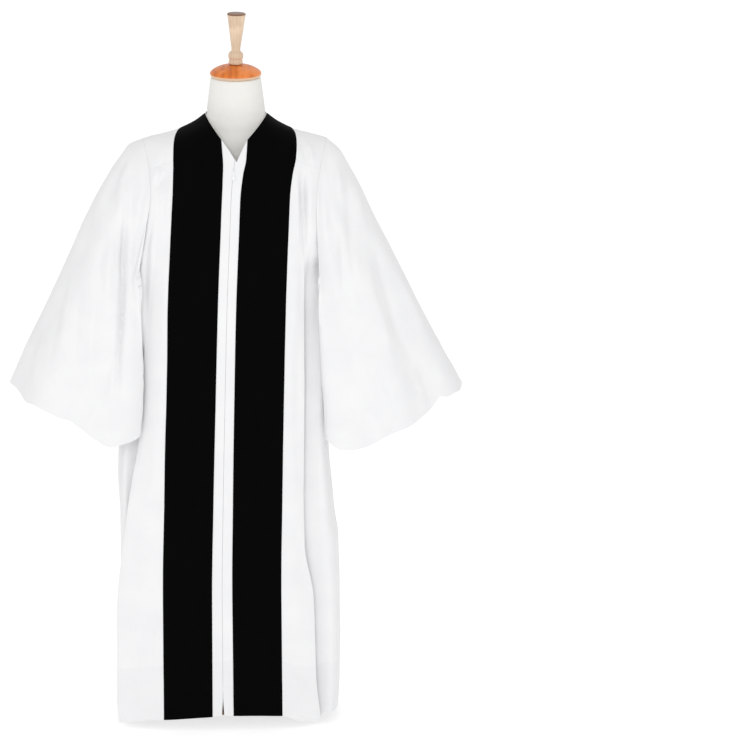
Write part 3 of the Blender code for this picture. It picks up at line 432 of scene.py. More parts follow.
seamCounts = [max(1, round((b - a) / mesh["rowHeight"])) for a, b in zip(seamRows, seamRows[1:])]
armCounts = [mesh["armholeRow"]] * (len(frontRows) - len(seamRows))
frontHeights = finer(np.array(frontRows), seamCounts + armCounts)
backHeights = finer(np.array(backRows), seamCounts + armCounts)
yokeRows = 5 * mesh["yokeRow"] + 1


# Unit normals of a grid of points, along columns crossed with up the rows
def normalsOf(grid, around=False):
    across = np.gradient(grid, axis=1)
    if around:
        across = (np.roll(grid, -1, axis=1) - np.roll(grid, 1, axis=1)) / 2
    up = np.gradient(grid, axis=0)
    normal = np.cross(across, up)
    return normal / np.maximum(np.linalg.norm(normal, axis=2, keepdims=True), 1e-12)


# Draws one edge of a grid back from the seam that it shares
def alongEdge(grid, row=None, column=None, by=cut["seam"] / 2):
    if row is not None:
        line, beside = grid[row], grid[row + 1 if row == 0 else row - 1]
    else:
        line, beside = grid[:, column], grid[:, column + 1 if column == 0 else column - 1]
    line += unit(beside - line) * by


# Points on smooth curves from each node to the next. The first and the last node only steer them.
def curved(nodes, count):
    t = (np.arange(count) / count)[:, None]
    points = []
    for before, start, end, after in zip(nodes, nodes[1:], nodes[2:], nodes[3:]):
        bend = 2 * before - 5 * start + 4 * end - after
        twist = 3 * start - before - 3 * end + after
        points.append(start + 0.5 * t * ((end - before) + t * (bend + t * twist)))
    return np.concatenate(points)


def curveThrough(nodes, count):
    nodes = np.array(nodes, float)
    ends = np.concatenate([[2 * nodes[0] - nodes[1]], nodes, [2 * nodes[-1] - nodes[-2]]])
    return np.concatenate([curved(ends, count), nodes[-1:]])


armholeMiddle = (cut["armholeTop"] + cut["underarm"]) / 2
armholeHalf = (cut["armholeTop"] - cut["underarm"]) / 2


# A point on an armhole's seam, as x and how far forward
def armholeAt(side, height, forwardSide):
    s = min(max((height - armholeMiddle) / armholeHalf, -1), 1)
    hollow = cut["frontHollow"] if forwardSide else cut["backHollow"]
    out = cut["armholeLowOut"] + (cut["armholeTopOut"] - cut["armholeLowOut"]) * (1 + s) / 2
    out -= hollow * (1 - s * s)
    reach = cut["armholeFront"] + cut["armholeSwell"] * ease(-s, -0.2, 0.5)
    if not forwardSide:
        reach = -cut["armholeBack"]
    power = 2 + (cut["armholeFullness"] * ease(-s, 0, 0.5) if forwardSide else 0)
    forward = reach * (1 - abs(s) ** power) ** (1 / power) - cut["neckBack"] * (1 + s) / 2
    return side * out + centreLine.at(height).x * (1 - s) / 2, forward


lowArmholes = {}
for side in sideNames:
    for forwardSide, heights in ((True, frontRows), (False, backRows)):
        heights = heights[len(seamRows) - 1 :]
        low = [(height, *armholeAt(side, height, forwardSide)) for height in heights]
        lowArmholes[side, forwardSide] = Table("height x forward", *low, per=1)


def slotAt(height):
    return cut["slotAtHem"] + (cut["slot"] - cut["slotAtHem"]) * ease(height, *cut["parted"])


# Points across a front at one height, from the middle of the robe to the side seam
def frontSection(side, height):
    centre = centreLine.at(height)
    pleat = pleats[side].at(height)
    flatEnd = pleat.edge - cut["turnRadius"] * 1.5
    places = [slotAt(height), centre.band, centre.band + cut["velvetWidth"], flatEnd]
    counts = (mesh["band"], mesh["velvet"], mesh["panel"])
    distances = np.concatenate(
        [a + (b - a) * np.arange(n) / n for a, b, n in zip(places, places[1:], counts)]
    )
    drop = centre.forward - pleat.edgeForward

    def forwardAt(distance):
        return centre.forward - drop * (distance / pleat.edge) ** cut["panelRounding"]

    flat = np.column_stack([centre.x + side * distances, forwardAt(distances)])
    end = (centre.x + side * pleat.side, pleat.sideForward)
    if height > cut["underarm"] - cut["seamFade"]:
        armhole = lowArmholes[side, True].at(height)
        seam = ease(height, cut["underarm"] - cut["seamFade"], cut["underarm"])
        end = (end[0] + (armhole.x - end[0]) * seam, end[1] + (armhole.forward - end[1]) * seam)
    start = np.array((centre.x + side * flatEnd, forwardAt(flatEnd)))
    folded = pleatNodes(side, start, np.array(end), pleat.tuck)
    low, high = cut["plainRounding"]
    rounding = low + (high - low) * ease(height, *cut["plainUpTo"])
    plain = plainNodes(start, np.array(end), len(folded), rounding)
    deep = 1 - ease(height, *cut["pleatFade"][side])
    plan = np.concatenate([flat, curveThrough(plain + (folded - plain) * deep, mesh["pleat"])])
    return np.column_stack([plan[:, 0], -plan[:, 1], np.full(len(plan), height)])


# The pleat turns round its edge, is tucked back under it and turns again towards the side seam
def pleatNodes(side, start, end, tuck):
    turn = cut["turnRadius"]
    under = np.array(
        [
            (0, 0),
            (1.5 * turn, -turn),
            (0, -2 * turn),
            (1.5 * turn - tuck, -2.5 * turn),
            (0.5 * turn - tuck, -3.5 * turn),
            (1.5 * turn - tuck, -4.6 * turn),
        ]
    )
    folded = start + under * (side, 1)
    run = end - folded[-1]
    return np.concatenate([folded, [folded[-1] + run * part for part in pleatReturn]])


def plainNodes(start, end, count, rounding):
    parts = np.arange(count) / (count - 1)
    run = end - start
    return start + np.column_stack([run[0] * parts, run[1] * parts**rounding])


# Sections at many heights, from which a grid takes each column at its own height
def stackOf(section):
    heights = np.linspace(*mesh["sectionSpan"], mesh["sections"])
    heights = np.unique(np.concatenate([heights, frontRows[1:], backRows[1:]]))
    return heights, np.array([section(height) for height in heights])


def pick(stack, wanted):
    heights, sections = stack
    k = np.clip(np.searchsorted(heights, wanted, side="right") - 1, 0, len(heights) - 2)
    t = ((wanted - heights[k]) / (heights[k + 1] - heights[k]))[..., None]
    columns = np.broadcast_to(np.arange(sections.shape[1]), wanted.shape)
    return sections[k, columns] * (1 - t) + sections[k + 1, columns] * t


# The front's top edge: the slant of the V at the middle, then the yoke seam out to the armhole
def frontTop(side):
    across = np.abs(frontSection(side, cut["yokeOut"])[:, 0])
    band = across[mesh["band"]]
    rise = (cut["yokeIn"] - cut["vBottom"]) / band
    seam = cut["yokeIn"] + (cut["yokeOut"] - cut["yokeIn"]) * (across - band) / (across[-1] - band)
    return np.where(np.arange(len(across)) < mesh["band"], cut["vBottom"] + rise * across, seam)


def frontGrid(side, stack):
    tops = frontTop(side)
    level = cut["hemLevel"]
    low = np.abs(frontSection(side, level)[:, 0] - centreLine.at(level).x)
    bottoms = hems[side].at(low).height
    bottoms[-1] = cut["sideHem"]
    parts = (frontHeights - frontHeights[0]) / (frontHeights[-1] - frontHeights[0])
    return liftedHem(pick(stack, bottoms + (tops - bottoms) * parts[:, None]))


# The hem at the wearer's left side hangs a little higher
def liftedHem(grid):
    beyond = ease(grid[..., 0], *cut["liftedBeyond"])
    part = beyond * (1 - ease(grid[..., 2], *cut["liftedBelow"]))
    grid[..., 2] += cut["sideLift"] * part
    return grid


# Phase, depth and place of each column across the back
def fluteColumns():
    ridges = [place for place, _ in flutes]
    depths = [depth / 1000 for _, depth in flutes]
    first, last = 2 * ridges[0] - ridges[1], 2 * ridges[-1] - ridges[-2]
    knots = np.array([first] + ridges + [last])
    turns = np.arange((len(knots) - 1) * mesh["flute"] + 1) / mesh["flute"]
    marks = np.arange(len(knots))
    edge = np.arange(mesh["seamColumns"]) / mesh["seamColumns"]
    flat = np.zeros(mesh["seamColumns"])
    fluted = np.interp(turns, marks, knots)
    places = np.concatenate([edge * first, fluted, 1 - edge[::-1] * (1 - last)])
    strengths = np.concatenate([flat, np.interp(turns, marks, [0] + depths + [0]), flat])
    return np.concatenate([flat, 2 * math.pi * turns, flat]), strengths, places


# How far along the back's section each column lies: the flutes fall straight from the yoke to the
# hem, and the plain cloth beside them takes up the rest
def fallOf(places, height, x, lengths):
    atYoke, atHem = cut["backLengths"]
    fallen = (cut["backYokeMiddle"] - height) / (cut["backYokeMiddle"] - cut["sideHem"])
    fallen = min(max(fallen, 0), 1)
    middle = np.interp(cut["backDrift"] * fallen, x, lengths)
    first, last = places[mesh["seamColumns"]], places[-mesh["seamColumns"] - 1]
    room = min(middle / (0.5 - first), (lengths[-1] - middle) / (last - 0.5))
    reach = min(atYoke + (atHem - atYoke) * fallen, room * cut["backReach"])
    found = (0, middle + (first - 0.5) * reach, middle + (last - 0.5) * reach, lengths[-1])
    return np.interp(places, (0, first, last, 1), found)


def backSection(height):
    shape = backLine.at(height)
    ends = []
    for side in (right, left):
        if height < cut["underarm"]:
            ends.append(frontSection(side, height)[-1, :2])
        else:
            armhole = lowArmholes[side, False].at(height)
            ends.append((armhole.x, -armhole.forward))
    (rightX, rightY), (leftX, leftY) = ends
    turns = np.linspace(0, math.pi, 241)
    power = 2 / shape.square
    across = np.sign(np.cos(turns)) * np.abs(np.cos(turns)) ** power
    middle, half = (rightX + leftX) / 2, (leftX - rightX) / 2
    x = middle - half * across
    baseY = leftY + (rightY - leftY) * (1 + across) / 2
    y = baseY + (shape.back - baseY) * np.maximum(np.sin(turns), 0) ** power
    outline = np.column_stack([x, y])
    lengths = walked(outline)
    phases, strengths, places = fluteColumns()
    plan = pointsAt(fallOf(places, height, x, lengths), lengths, outline)
    tangent = unit(np.gradient(plan, axis=0))
    outward = np.column_stack([-tangent[:, 1], tangent[:, 0]])
    openOut = sum(share * (1 - ease(height, low, high)) for high, low, share in fluteGains.rows)
    depth = (strengths * openOut)[:, None]
    wave = lengths[-1] / (len(flutes) + 1) / (2 * math.pi)
    lean = np.sin(phases)[:, None] * tangent * np.minimum(depth, wave * cut["fluteLean"])
    plan = plan + outward * depth * np.cos(phases)[:, None] + lean
    return np.column_stack([plan, np.full(len(plan), height)])


def backGrid(stack):
    middle = np.sin(math.pi * fluteColumns()[2])
    tops = cut["backYokeSide"] + (cut["backYokeMiddle"] - cut["backYokeSide"]) * middle
    bottoms = cut["sideHem"] + cut["backHemRise"] * middle
    parts = (backHeights - backHeights[0]) / (backHeights[-1] - backHeights[0])
    return liftedHem(pick(stack, bottoms + (tops - bottoms) * parts[:, None]))


# A point on the shoulder seam. The neck stands a little to the wearer's left.
def ridgePoint(side, out):
    inwards = (cut["armholeTopOut"] - out) / (cut["armholeTopOut"] - cut["neckOut"])
    x = side * out + cut["neckShift"] * inwards
    return np.array((x, cut["neckBack"], ridgeLine.at(out).height))


# A grid of points inside four edges. The rounder it is, the more upright it stands at the bottom
# and the flatter it lies on top.
def overShoulder(bottom, top, start, end, roundness):
    columns = np.linspace(0, 1, len(bottom))[None, :, None]
    even = np.linspace(0, 1, len(start))
    turns = even * math.pi / 2
    rise = even + (np.sin(turns) - even) * roundness
    lean = even + (1 - np.cos(turns) - even) * roundness
    rows = np.column_stack([even, lean, rise])[:, None, :]
    between = (1 - rows) * bottom[None] + rows * top[None]
    across = (1 - columns) * start[:, None] + columns * end[:, None]
    corners = (1 - rows) * ((1 - columns) * bottom[0] + columns * bottom[-1])
    corners = corners + rows * ((1 - columns) * top[0] + columns * top[-1])
    return between + across - corners


def neckline(side, foot):
    turns = np.linspace(0, math.pi / 2, yokeRows)
    head = ridgePoint(side, cut["neckOut"])
    part = np.sin(turns)
    x = foot[0] + (head[0] - foot[0]) * part
    z = foot[2] + (head[2] - foot[2]) * part
    y = head[1] + (foot[1] - head[1]) * np.cos(turns)
    return np.column_stack([x, y, z])


def highArmhole(side, low, forwardSide):
    points = []
    for turn in np.linspace(math.asin((low - armholeMiddle) / armholeHalf), math.pi / 2, yokeRows):
        height = armholeMiddle + armholeHalf * math.sin(turn)
        x, forward = armholeAt(side, height, forwardSide)
        points.append((x, -forward, height))
    return np.array(points)


def frontYokeGrid(side, front):
    bottom = front[-1, mesh["band"] :]
    velvet = np.linspace(cut["neckOut"], cut["velvetOnRidge"], mesh["velvet"] + 1)[:-1]
    beyond = np.linspace(cut["velvetOnRidge"], cut["armholeTopOut"], len(bottom) - mesh["velvet"])
    top = np.array([ridgePoint(side, out) for out in (*velvet, *beyond)])
    end = highArmhole(side, cut["yokeOut"], True)
    return overShoulder(bottom, top, neckline(side, bottom[0]), end, cut["frontRoundness"])


def backYokeGrid(back):
    bottom = back[-1]
    shoulder = len(bottom) // 3
    outs = np.linspace(cut["armholeTopOut"], cut["neckOut"], shoulder + 1)
    nape = []
    for turn in np.linspace(0, math.pi, len(bottom) - 2 * shoulder)[1:-1]:
        rise = math.sin(turn)
        x = cut["neckShift"] - cut["neckOut"] * math.cos(turn)
        y = cut["neckBack"] + (cut["napeBack"] - cut["neckBack"]) * rise
        nape.append((x, y, cut["neckHeight"] + (cut["napeHeight"] - cut["neckHeight"]) * rise))
    rightRidge = [ridgePoint(right, out) for out in outs]
    leftRidge = [ridgePoint(left, out) for out in outs[::-1]]
    top = np.array([*rightRidge, *nape, *leftRidge])
    start = highArmhole(right, cut["backYokeSide"], False)
    end = highArmhole(left, cut["backYokeSide"], False)
    return overShoulder(bottom, top, start, end, cut["backRoundness"])


def shareNormals(first, second):
    first[:] = second[:] = unit(first + second)


# Turns the normals on the shoulder seam into its own upright plane
def standOnRidge(grid, normal):
    onRidge = np.abs(grid[..., 1] - cut["neckBack"]) < 1e-6
    normal[onRidge] = unit(normal[onRidge] * (1, 0, 1))


# Points round an armhole, from the shoulder seam down its front and up its back
def armholeRing(side):
    lines = []
    for rows, top, forwardSide in ((frontRows, "yokeOut", True), (backRows, "backYokeSide", False)):
        low = finer(np.array(rows[len(seamRows) - 1 :]), armCounts)
        place = lowArmholes[side, forwardSide].at(low)
        lines.append(np.column_stack([place.x, -place.forward, low])[:-1])
        lines.append(highArmhole(side, cut[top], forwardSide))
    return np.concatenate([lines[1][::-1], lines[0][::-1], lines[2][1:], lines[3][:-1]])


# One ring of a sleeve, from its outer end over the front to its inner end and back
def sleeveRing(side, along):
    ring = sleeves[side].at(along)
    outer = np.array((ring.outX, 0, ring.outZ))
    inner = np.array((ring.inX, ring.inForward, ring.inZ))
    seam = np.array((ring.sideX, -cut["sleeveSeamBack"], ring.sideZ))
    nodes = [outer]
    for part, deep, level, hang in frontBulge:
        x, _, z = outer + (inner - outer) * part
        nodes.append((x, ring.front * deep + ring.inForward * level, z - ring.dip * hang))
    nodes.append(inner)
    for part, forward in returnShape:
        x, _, z = inner + (seam - inner) * part
        nodes.append((x, ring.inForward * forward, z))
    nodes.append(seam)
    for part, deep, hang in backBulge:
        x, _, z = seam + (outer - seam) * part
        nodes.append((x, -ring.back * deep, z - ring.dip * hang))
    return closedCurve(nodes, 2 + len(frontBulge) + len(returnShape)) * (side, -1, 1)


# Points on a closed smooth curve, half of them on each side of the turning node
def closedCurve(nodes, turnNode):
    nodes = np.array(nodes, float)
    dense = curved(np.concatenate([nodes[-1:], nodes, nodes[:2]]), mesh["curve"])
    dense = np.concatenate([dense, nodes[:1]])
    total = walked(dense)
    turn = total[turnNode * mesh["curve"]]
    half = 2 * mesh["sleeveQuarter"] + 1
    at = np.concatenate([np.linspace(0, turn, half)[:-1], np.linspace(turn, total[-1], half)[:-1]])
    return pointsAt(at, total, dense)


def foldHeight(side, along, quarters):
    moved = np.zeros(len(quarters))
    for head, cuff, width, height in sleeveFolds[side]:
        place = head + (cuff - head) * along
        away = (quarters - place + 2) % 4 - 2
        moved += height / 1000 * np.exp(-((away / width) ** 2))
    grown = cut["foldAtHead"] + (1 - cut["foldAtHead"]) * along
    return moved * grown * ease(along, 0, cut["foldsFrom"])


def foldedRing(side, along):
    quarters = np.arange(4 * mesh["sleeveQuarter"]) / mesh["sleeveQuarter"]
    ring = sleeveRing(side, along)
    tangent = np.roll(ring, -1, axis=0) - np.roll(ring, 1, axis=0)
    outward = unit(np.cross(tangent, (cut["sleeveFlare"] * side, 0, -1.0)) * side)
    return ring + outward * foldHeight(side, along, quarters)[:, None]


# Rings from the armhole to the cuff. The stretch before the first ring of the table eases out of
# the armhole's own seam.
def sleeveGrid(side):
    head = armholeRing(side) + (side * cut["seam"], 0, 0)
    first = sleeves[side].rows[0, 0]
    ring = foldedRing(side, first)
    after = (foldedRing(side, first + 0.01) - ring) / 0.01
    rings = []
    for along in np.linspace(0, 1, mesh["sleeveRows"]):
        if along < first:
            rings.append(blend(along / first, head, ring - head, ring, first * after))
        else:
            rings.append(foldedRing(side, along))
    grid = np.array(rings)
    low = ease(np.linspace(0, 1, len(grid)), cut["cuffWavesFrom"], 1)[:, None]
    for face, waves in cuffWaves[side].items():
        onFace = ease(grid[..., 1] * face, *cut["cuffFaces"])
        for place, width, height in np.array(waves) / 1000:
            near = np.exp(-(((grid[..., 0] - place) / width) ** 2))
            grid[..., 2] += height * low * onFace * near
    return grid


# Creases and soft folds. Each has its half width, its height (a trough is negative) and the points
# along it, as x and height, all in millimetres. They are set apart by piece, and front and back.
bodyCreases = {
    ahead: (
        (3.5, -1.6, ((-212, 511), (-161, 518), (-116, 520))),
        (3.5, 1.4, ((-206, 519), (-160, 526), (-118, 528))),
        (3, -1.2, ((-116, 521), (-72, 516), (-34, 513))),
        (3, -1.2, ((1, 513), (39, 519), (90, 526))),
        (4, 1, ((54, 432), (96, 457))),
        (6, 0.9, ((-108, 728), (-37, 726))),
        (10, 4.8, ((-160, 1262), (-176, 1246), (-200, 1222))),
        (7, -3.3, ((-150, 1252), (-166, 1230), (-190, 1205))),
        (7.5, 3.9, ((-188, 1262), (-192, 1215), (-197, 1160))),
        (6.5, -3, ((-176, 1255), (-179, 1205), (-182, 1130))),
        (7, 3, ((-143, 1250), (-145, 1200), (-148, 1120))),
        (9.5, -8.5, ((-189, 1200), (-195, 1100), (-200, 1000), (-199, 900))),
        (6, -2.4, ((-134, 1245), (-136, 1190), (-137, 1110))),
        (12, 3, ((-152, 1060), (-156, 960), (-160, 860))),
        (11, -2.7, ((-140, 900), (-150, 780), (-160, 660))),
        (13, 3.3, ((-175, 700), (-190, 560), (-205, 420))),
        (12, -3.6, ((-150, 610), (-165, 480), (-185, 330))),
        (15, 3.3, ((-205, 380), (-225, 240), (-235, 90))),
        (12, -2.7, ((-170, 300), (-185, 200), (-195, 80))),
        (7, -3.6, ((142, 1322), (152, 1300), (160, 1268))),
        (7, 3.6, ((156, 1318), (166, 1296), (172, 1262))),
        (6.5, 2.7, ((132, 1262), (137, 1210), (140, 1130))),
        (6.5, -12, ((147.5, 1262), (150, 1190), (152, 1120), (153, 1060))),
        (7, 3, ((168, 1255), (169, 1190), (166, 1100))),
        (11, 2.4, ((128, 1080), (130, 960), (126, 840))),
        (11, -2.4, ((138, 900), (136, 760), (134, 620))),
        (12, 2.7, ((120, 690), (124, 560), (128, 440))),
        (12, -2.7, ((140, 470), (144, 360), (150, 240))),
        (5.5, 1.9, ((117, 453), (128, 464), (139, 476))),
        (5, -1.8, ((112, 432), (128, 444), (144, 450))),
        (7, 2.5, ((104, 136), (134, 104), (164, 65))),
        (7, -2.3, ((118, 140), (146, 112), (172, 84))),
        (6, -1.8, ((-20, 100), (-10, 70), (-4, 36))),
        (12, 3, ((225, 620), (235, 450), (240, 260))),
        (12, -3, ((-215, 820), (-222, 700), (-228, 560))),
    ),
    behind: (
        (4, -1.6, ((-212, 548), (-120, 543), (-30, 546))),
        (4, -1.5, ((10, 540), (100, 534), (205, 538))),
        (4.5, 1.2, ((-190, 902), (-80, 897))),
        (4.5, -1.2, ((20, 884), (120, 888), (190, 880))),
        (7, 2.7, ((-120, 1326), (-150, 1296), (-186, 1262))),
        (7, -1.8, ((-60, 1330), (-105, 1300), (-160, 1268))),
        (7, 2.4, ((110, 1332), (148, 1300), (190, 1270))),
        (8, 1.8, ((-20, 1336), (4, 1322), (34, 1330))),
        (10, 3, ((-196, 1190), (-188, 1110), (-176, 1030))),
        (9, -3, ((184, 1200), (178, 1120), (166, 1030))),
        (8, 2.3, ((-150, 300), (-120, 250), (-85, 225))),
        (7, -2.1, ((100, 420), (135, 370), (150, 310))),
        (6, 2.1, ((50, 190), (75, 150), (110, 128))),
    ),
}
sleeveCreases = {
    right: {
        ahead: (
            (7.5, 4.6, ((-232, 1280), (-249, 1232), (-252, 1184), (-264, 1140))),
            (9, -4.9, ((-236, 1292), (-266, 1225), (-280, 1178))),
            (6.2, -15, ((-239, 1200), (-243, 1100), (-250, 1000), (-259, 860), (-262, 740))),
            (9, 4.1, ((-262, 1270), (-284, 1222), (-300, 1160))),
            (8, -3.5, ((-300, 1215), (-318, 1160), (-334, 1090))),
            (9, -4.3, ((-283, 1118), (-300, 1050), (-300, 961))),
            (10, 4.6, ((-268, 1110), (-278, 1040), (-280, 930))),
            (11, 4.6, ((-306, 1010), (-319, 867), (-327, 760))),
            (9, -3.8, ((-338, 1020), (-352, 900), (-360, 790))),
            (8, 3, ((-352, 1060), (-374, 960), (-388, 850))),
            (8, -3.5, ((-372, 1010), (-400, 900), (-416, 800))),
            (8, 3.2, ((-424, 900), (-440, 840), (-448, 770))),
            (7, -2.7, ((-258, 870), (-284, 820), (-296, 730))),
            (6, 2.2, ((-300, 750), (-322, 716), (-340, 690))),
        ),
        behind: (
            (9, 4.1, ((-240, 1280), (-262, 1230), (-286, 1160))),
            (9, -4.1, ((-228, 1262), (-246, 1190), (-252, 1110))),
            (10, 4.3, ((-262, 1130), (-300, 1010), (-322, 880))),
            (10, -4.3, ((-306, 1120), (-342, 1010), (-366, 870))),
            (9, 3.5, ((-366, 1020), (-400, 900), (-424, 810))),
            (8, -3, ((-286, 900), (-330, 850), (-372, 830))),
        ),
    },
    left: {
        ahead: (
            (8.5, 4.1, ((233, 1170), (235, 1060), (236, 940))),
            (8.5, -4.6, ((241, 1288), (249, 1225), (254, 1125), (262, 991), (276, 915))),
            (7, 4.1, ((226, 1262), (230, 1220), (232, 1180))),
            (8, 3.8, ((262, 1262), (272, 1200), (276, 1140))),
            (7.5, -3.2, ((282, 1230), (294, 1170), (300, 1110))),
            (11, 4.9, ((280, 1110), (300, 990), (330, 894), (348, 793))),
            (9.5, -4.9, ((304, 1110), (330, 995), (362, 880), (395, 820))),
            (10, 4.3, ((345, 1050), (376, 985), (426, 872))),
            (9, -3.5, ((390, 1000), (426, 920), (452, 850))),
            (15, 4.1, ((246, 800), (290, 740), (330, 700))),
            (10, -3.5, ((300, 840), (322, 770), (350, 700))),
            (8, 3, ((388, 820), (410, 760), (420, 700))),
        ),
        behind: (
            (9, -4.1, ((236, 1280), (262, 1220), (286, 1150))),
            (9, 4.1, ((224, 1262), (240, 1190), (246, 1100))),
            (10, -4.3, ((256, 1140), (290, 1010), (312, 880))),
            (10, 4.3, ((300, 1120), (334, 1000), (362, 860))),
            (9, -3.5, ((360, 1020), (396, 900), (420, 800))),
            (8, 3, ((282, 860), (326, 820), (366, 800))),
        ),
    },
}

# Slight unevenness all over: the size of the waves and their height, in millimetres
ripples = ((90, 2.6), (34, 0.9), (13, 0.2))
rippleStretch = 2.2  # how much longer they are upwards than across
sleeveSeed = 3.7  # sets the sleeves' ripples apart from the body's


# How far the surface stands out at each point of a grid because of its creases
def creaseHeight(grid, normal, creases):
    places = grid[..., (0, 2)]
    total = np.zeros(grid.shape[:2])
    for face, rows in creases.items():
        facing = np.clip(normal[..., 1] * face * 2, 0, 1)
        for width, height, points in rows:
            near = nearLine(places, np.array(points) / 1000, width / 1000)
            total += facing * height / 1000 * near
    return total


# 1 on a line and 0 away from it. It fades towards both ends.
def nearLine(places, points, width):
    near = np.zeros(places.shape[:2])
    lengths = np.linalg.norm(np.diff(points, axis=0), axis=1)
    total, passed = lengths.sum(), 0
    for start, end, length in zip(points, points[1:], lengths):
        run = (end - start) / length
        along = np.clip((places - start) @ run, 0, length)
        away = np.linalg.norm(places - start - along[..., None] * run, axis=-1)
        part = (passed + along) / total
        fade = ease(part, -0.05, 0.3) * (1 - ease(part, 0.6, 1.05))
        near = np.maximum(near, np.exp(-((away / width) ** 2)) * fade)
        passed += length
    return near


def rippleHeight(grid, seed):
    total = np.zeros(grid.shape[:2])
    waves = [(size / 1000, height / 1000) for size, height in ripples]
    for row in range(grid.shape[0]):
        for column in range(grid.shape[1]):
            x, y, z = grid[row, column]
            for size, height in waves:
                place = Vector((x / size + seed, y / size, z / size / rippleStretch))
                total[row, column] += height * noise.noise(place)
    return total


def settled(grid, normal, creases, seed=0.0, share=1.0):
    moved = (creaseHeight(grid, normal, creases) + rippleHeight(grid, seed)) * share
    return grid + normal * moved[..., None]


# How freely the cloth of the body moves: not at all on the armholes' seams
def awayFromArmholes(grid, ends):
    steps = np.linalg.norm(np.diff(grid, axis=1), axis=2)
    reach = np.concatenate([np.zeros((len(grid), 1)), np.cumsum(steps, axis=1)], axis=1)
    fromEnds = {"first": reach, "last": reach[:, -1:] - reach}
    near = np.min([fromEnds[end] for end in ends], axis=0)
    held = 1 - ease(near, 0, cut["armholeHold"])
    return 1 - held * ease(grid[..., 2], cut["underarm"] - cut["seamFade"], cut["underarm"])


# Lengths along the rows and up the columns of a grid, in metres, for the weave
def clothPlaces(grid, around):
    looped = np.concatenate([grid, grid[:, :1]], axis=1) if around else grid
    across = np.linalg.norm(np.diff(looped, axis=1), axis=2).mean(axis=0)
    up = np.linalg.norm(np.diff(grid, axis=0), axis=2).mean(axis=1)
    return np.concatenate([[0], np.cumsum(across)]), np.concatenate([[0], np.cumsum(up)])


# A new object from points, which are moved to where the whole stands, and faces
def newObject(name, points, faces, sharpAngle):
    shape = bpy.data.meshes.new(name)
    shape.from_pydata((points + standPlace).tolist(), [], faces.tolist())
    shape.shade_smooth()
    shape.set_sharp_from_angle(angle=math.radians(sharpAngle))
    made = bpy.data.objects.new(name, shape)
    bpy.context.scene.collection.objects.link(made)
    return made


cloth = {}  # each piece of cloth, by its name


# A wall of cloth between an outer and an inner grid, closed along its edges
def clothWall(name, outer, inner, around=False):
    rows, columns = outer.shape[:2]
    layer = rows * columns
    last = columns if around else columns - 1
    r, c = np.meshgrid(np.arange(rows - 1), np.arange(last), indexing="ij")
    r, c = r.ravel(), c.ravel()
    low, high, beside = r * columns, (r + 1) * columns, (c + 1) % columns
    corners = np.stack([low + c, low + beside, high + beside, high + c], 1)
    u, v = clothPlaces(outer, around)
    places = [u[c], v[r], u[c + 1], v[r], u[c + 1], v[r + 1], u[c], v[r + 1]]
    places = np.stack(places, 1).reshape(-1, 4, 2)
    points = outer.reshape(-1, 3)
    a, b, d = points[corners[:, 0]], points[corners[:, 1]], points[corners[:, 3]]
    faces = [corners, layer + corners[:, ::-1]]
    wovenAt = [places, places[:, ::-1]]
    ends = [(slice(0, last), [1, 0]), (slice(-last, None), [3, 2])]
    if not around:
        ends += [(slice(0, None, last), [0, 3]), (slice(last - 1, None, last), [2, 1])]
    for along, pair in ends:
        edge, place = corners[along][:, pair], places[along][:, pair]
        faces.append(np.concatenate([edge, layer + edge[:, ::-1]], axis=1))
        wovenAt.append(np.concatenate([place, place[:, ::-1]], axis=1))
    faces, wovenAt = np.concatenate(faces), np.concatenate(wovenAt)
    thick = (points - inner.reshape(-1, 3))[corners[:, 0]]
    if (np.cross(b - a, d - a) * thick).sum() < 0:
        faces, wovenAt = faces[:, ::-1], wovenAt[:, ::-1]
    made = newObject("cloth_" + name, np.concatenate([points, inner.reshape(-1, 3)]), faces, 55)
    made.data.uv_layers.new(name="weave").data.foreach_set("uv", wovenAt.ravel())
    cloth[name] = made


# A white piece: the grid is its outer side, and the wall lies inside it
def whiteCloth(name, grid, normal, around=False):
    clothWall(name, grid, grid - normal * cut["cloth"], around)


lines = {}  # lines on the finished surfaces, for the stitches


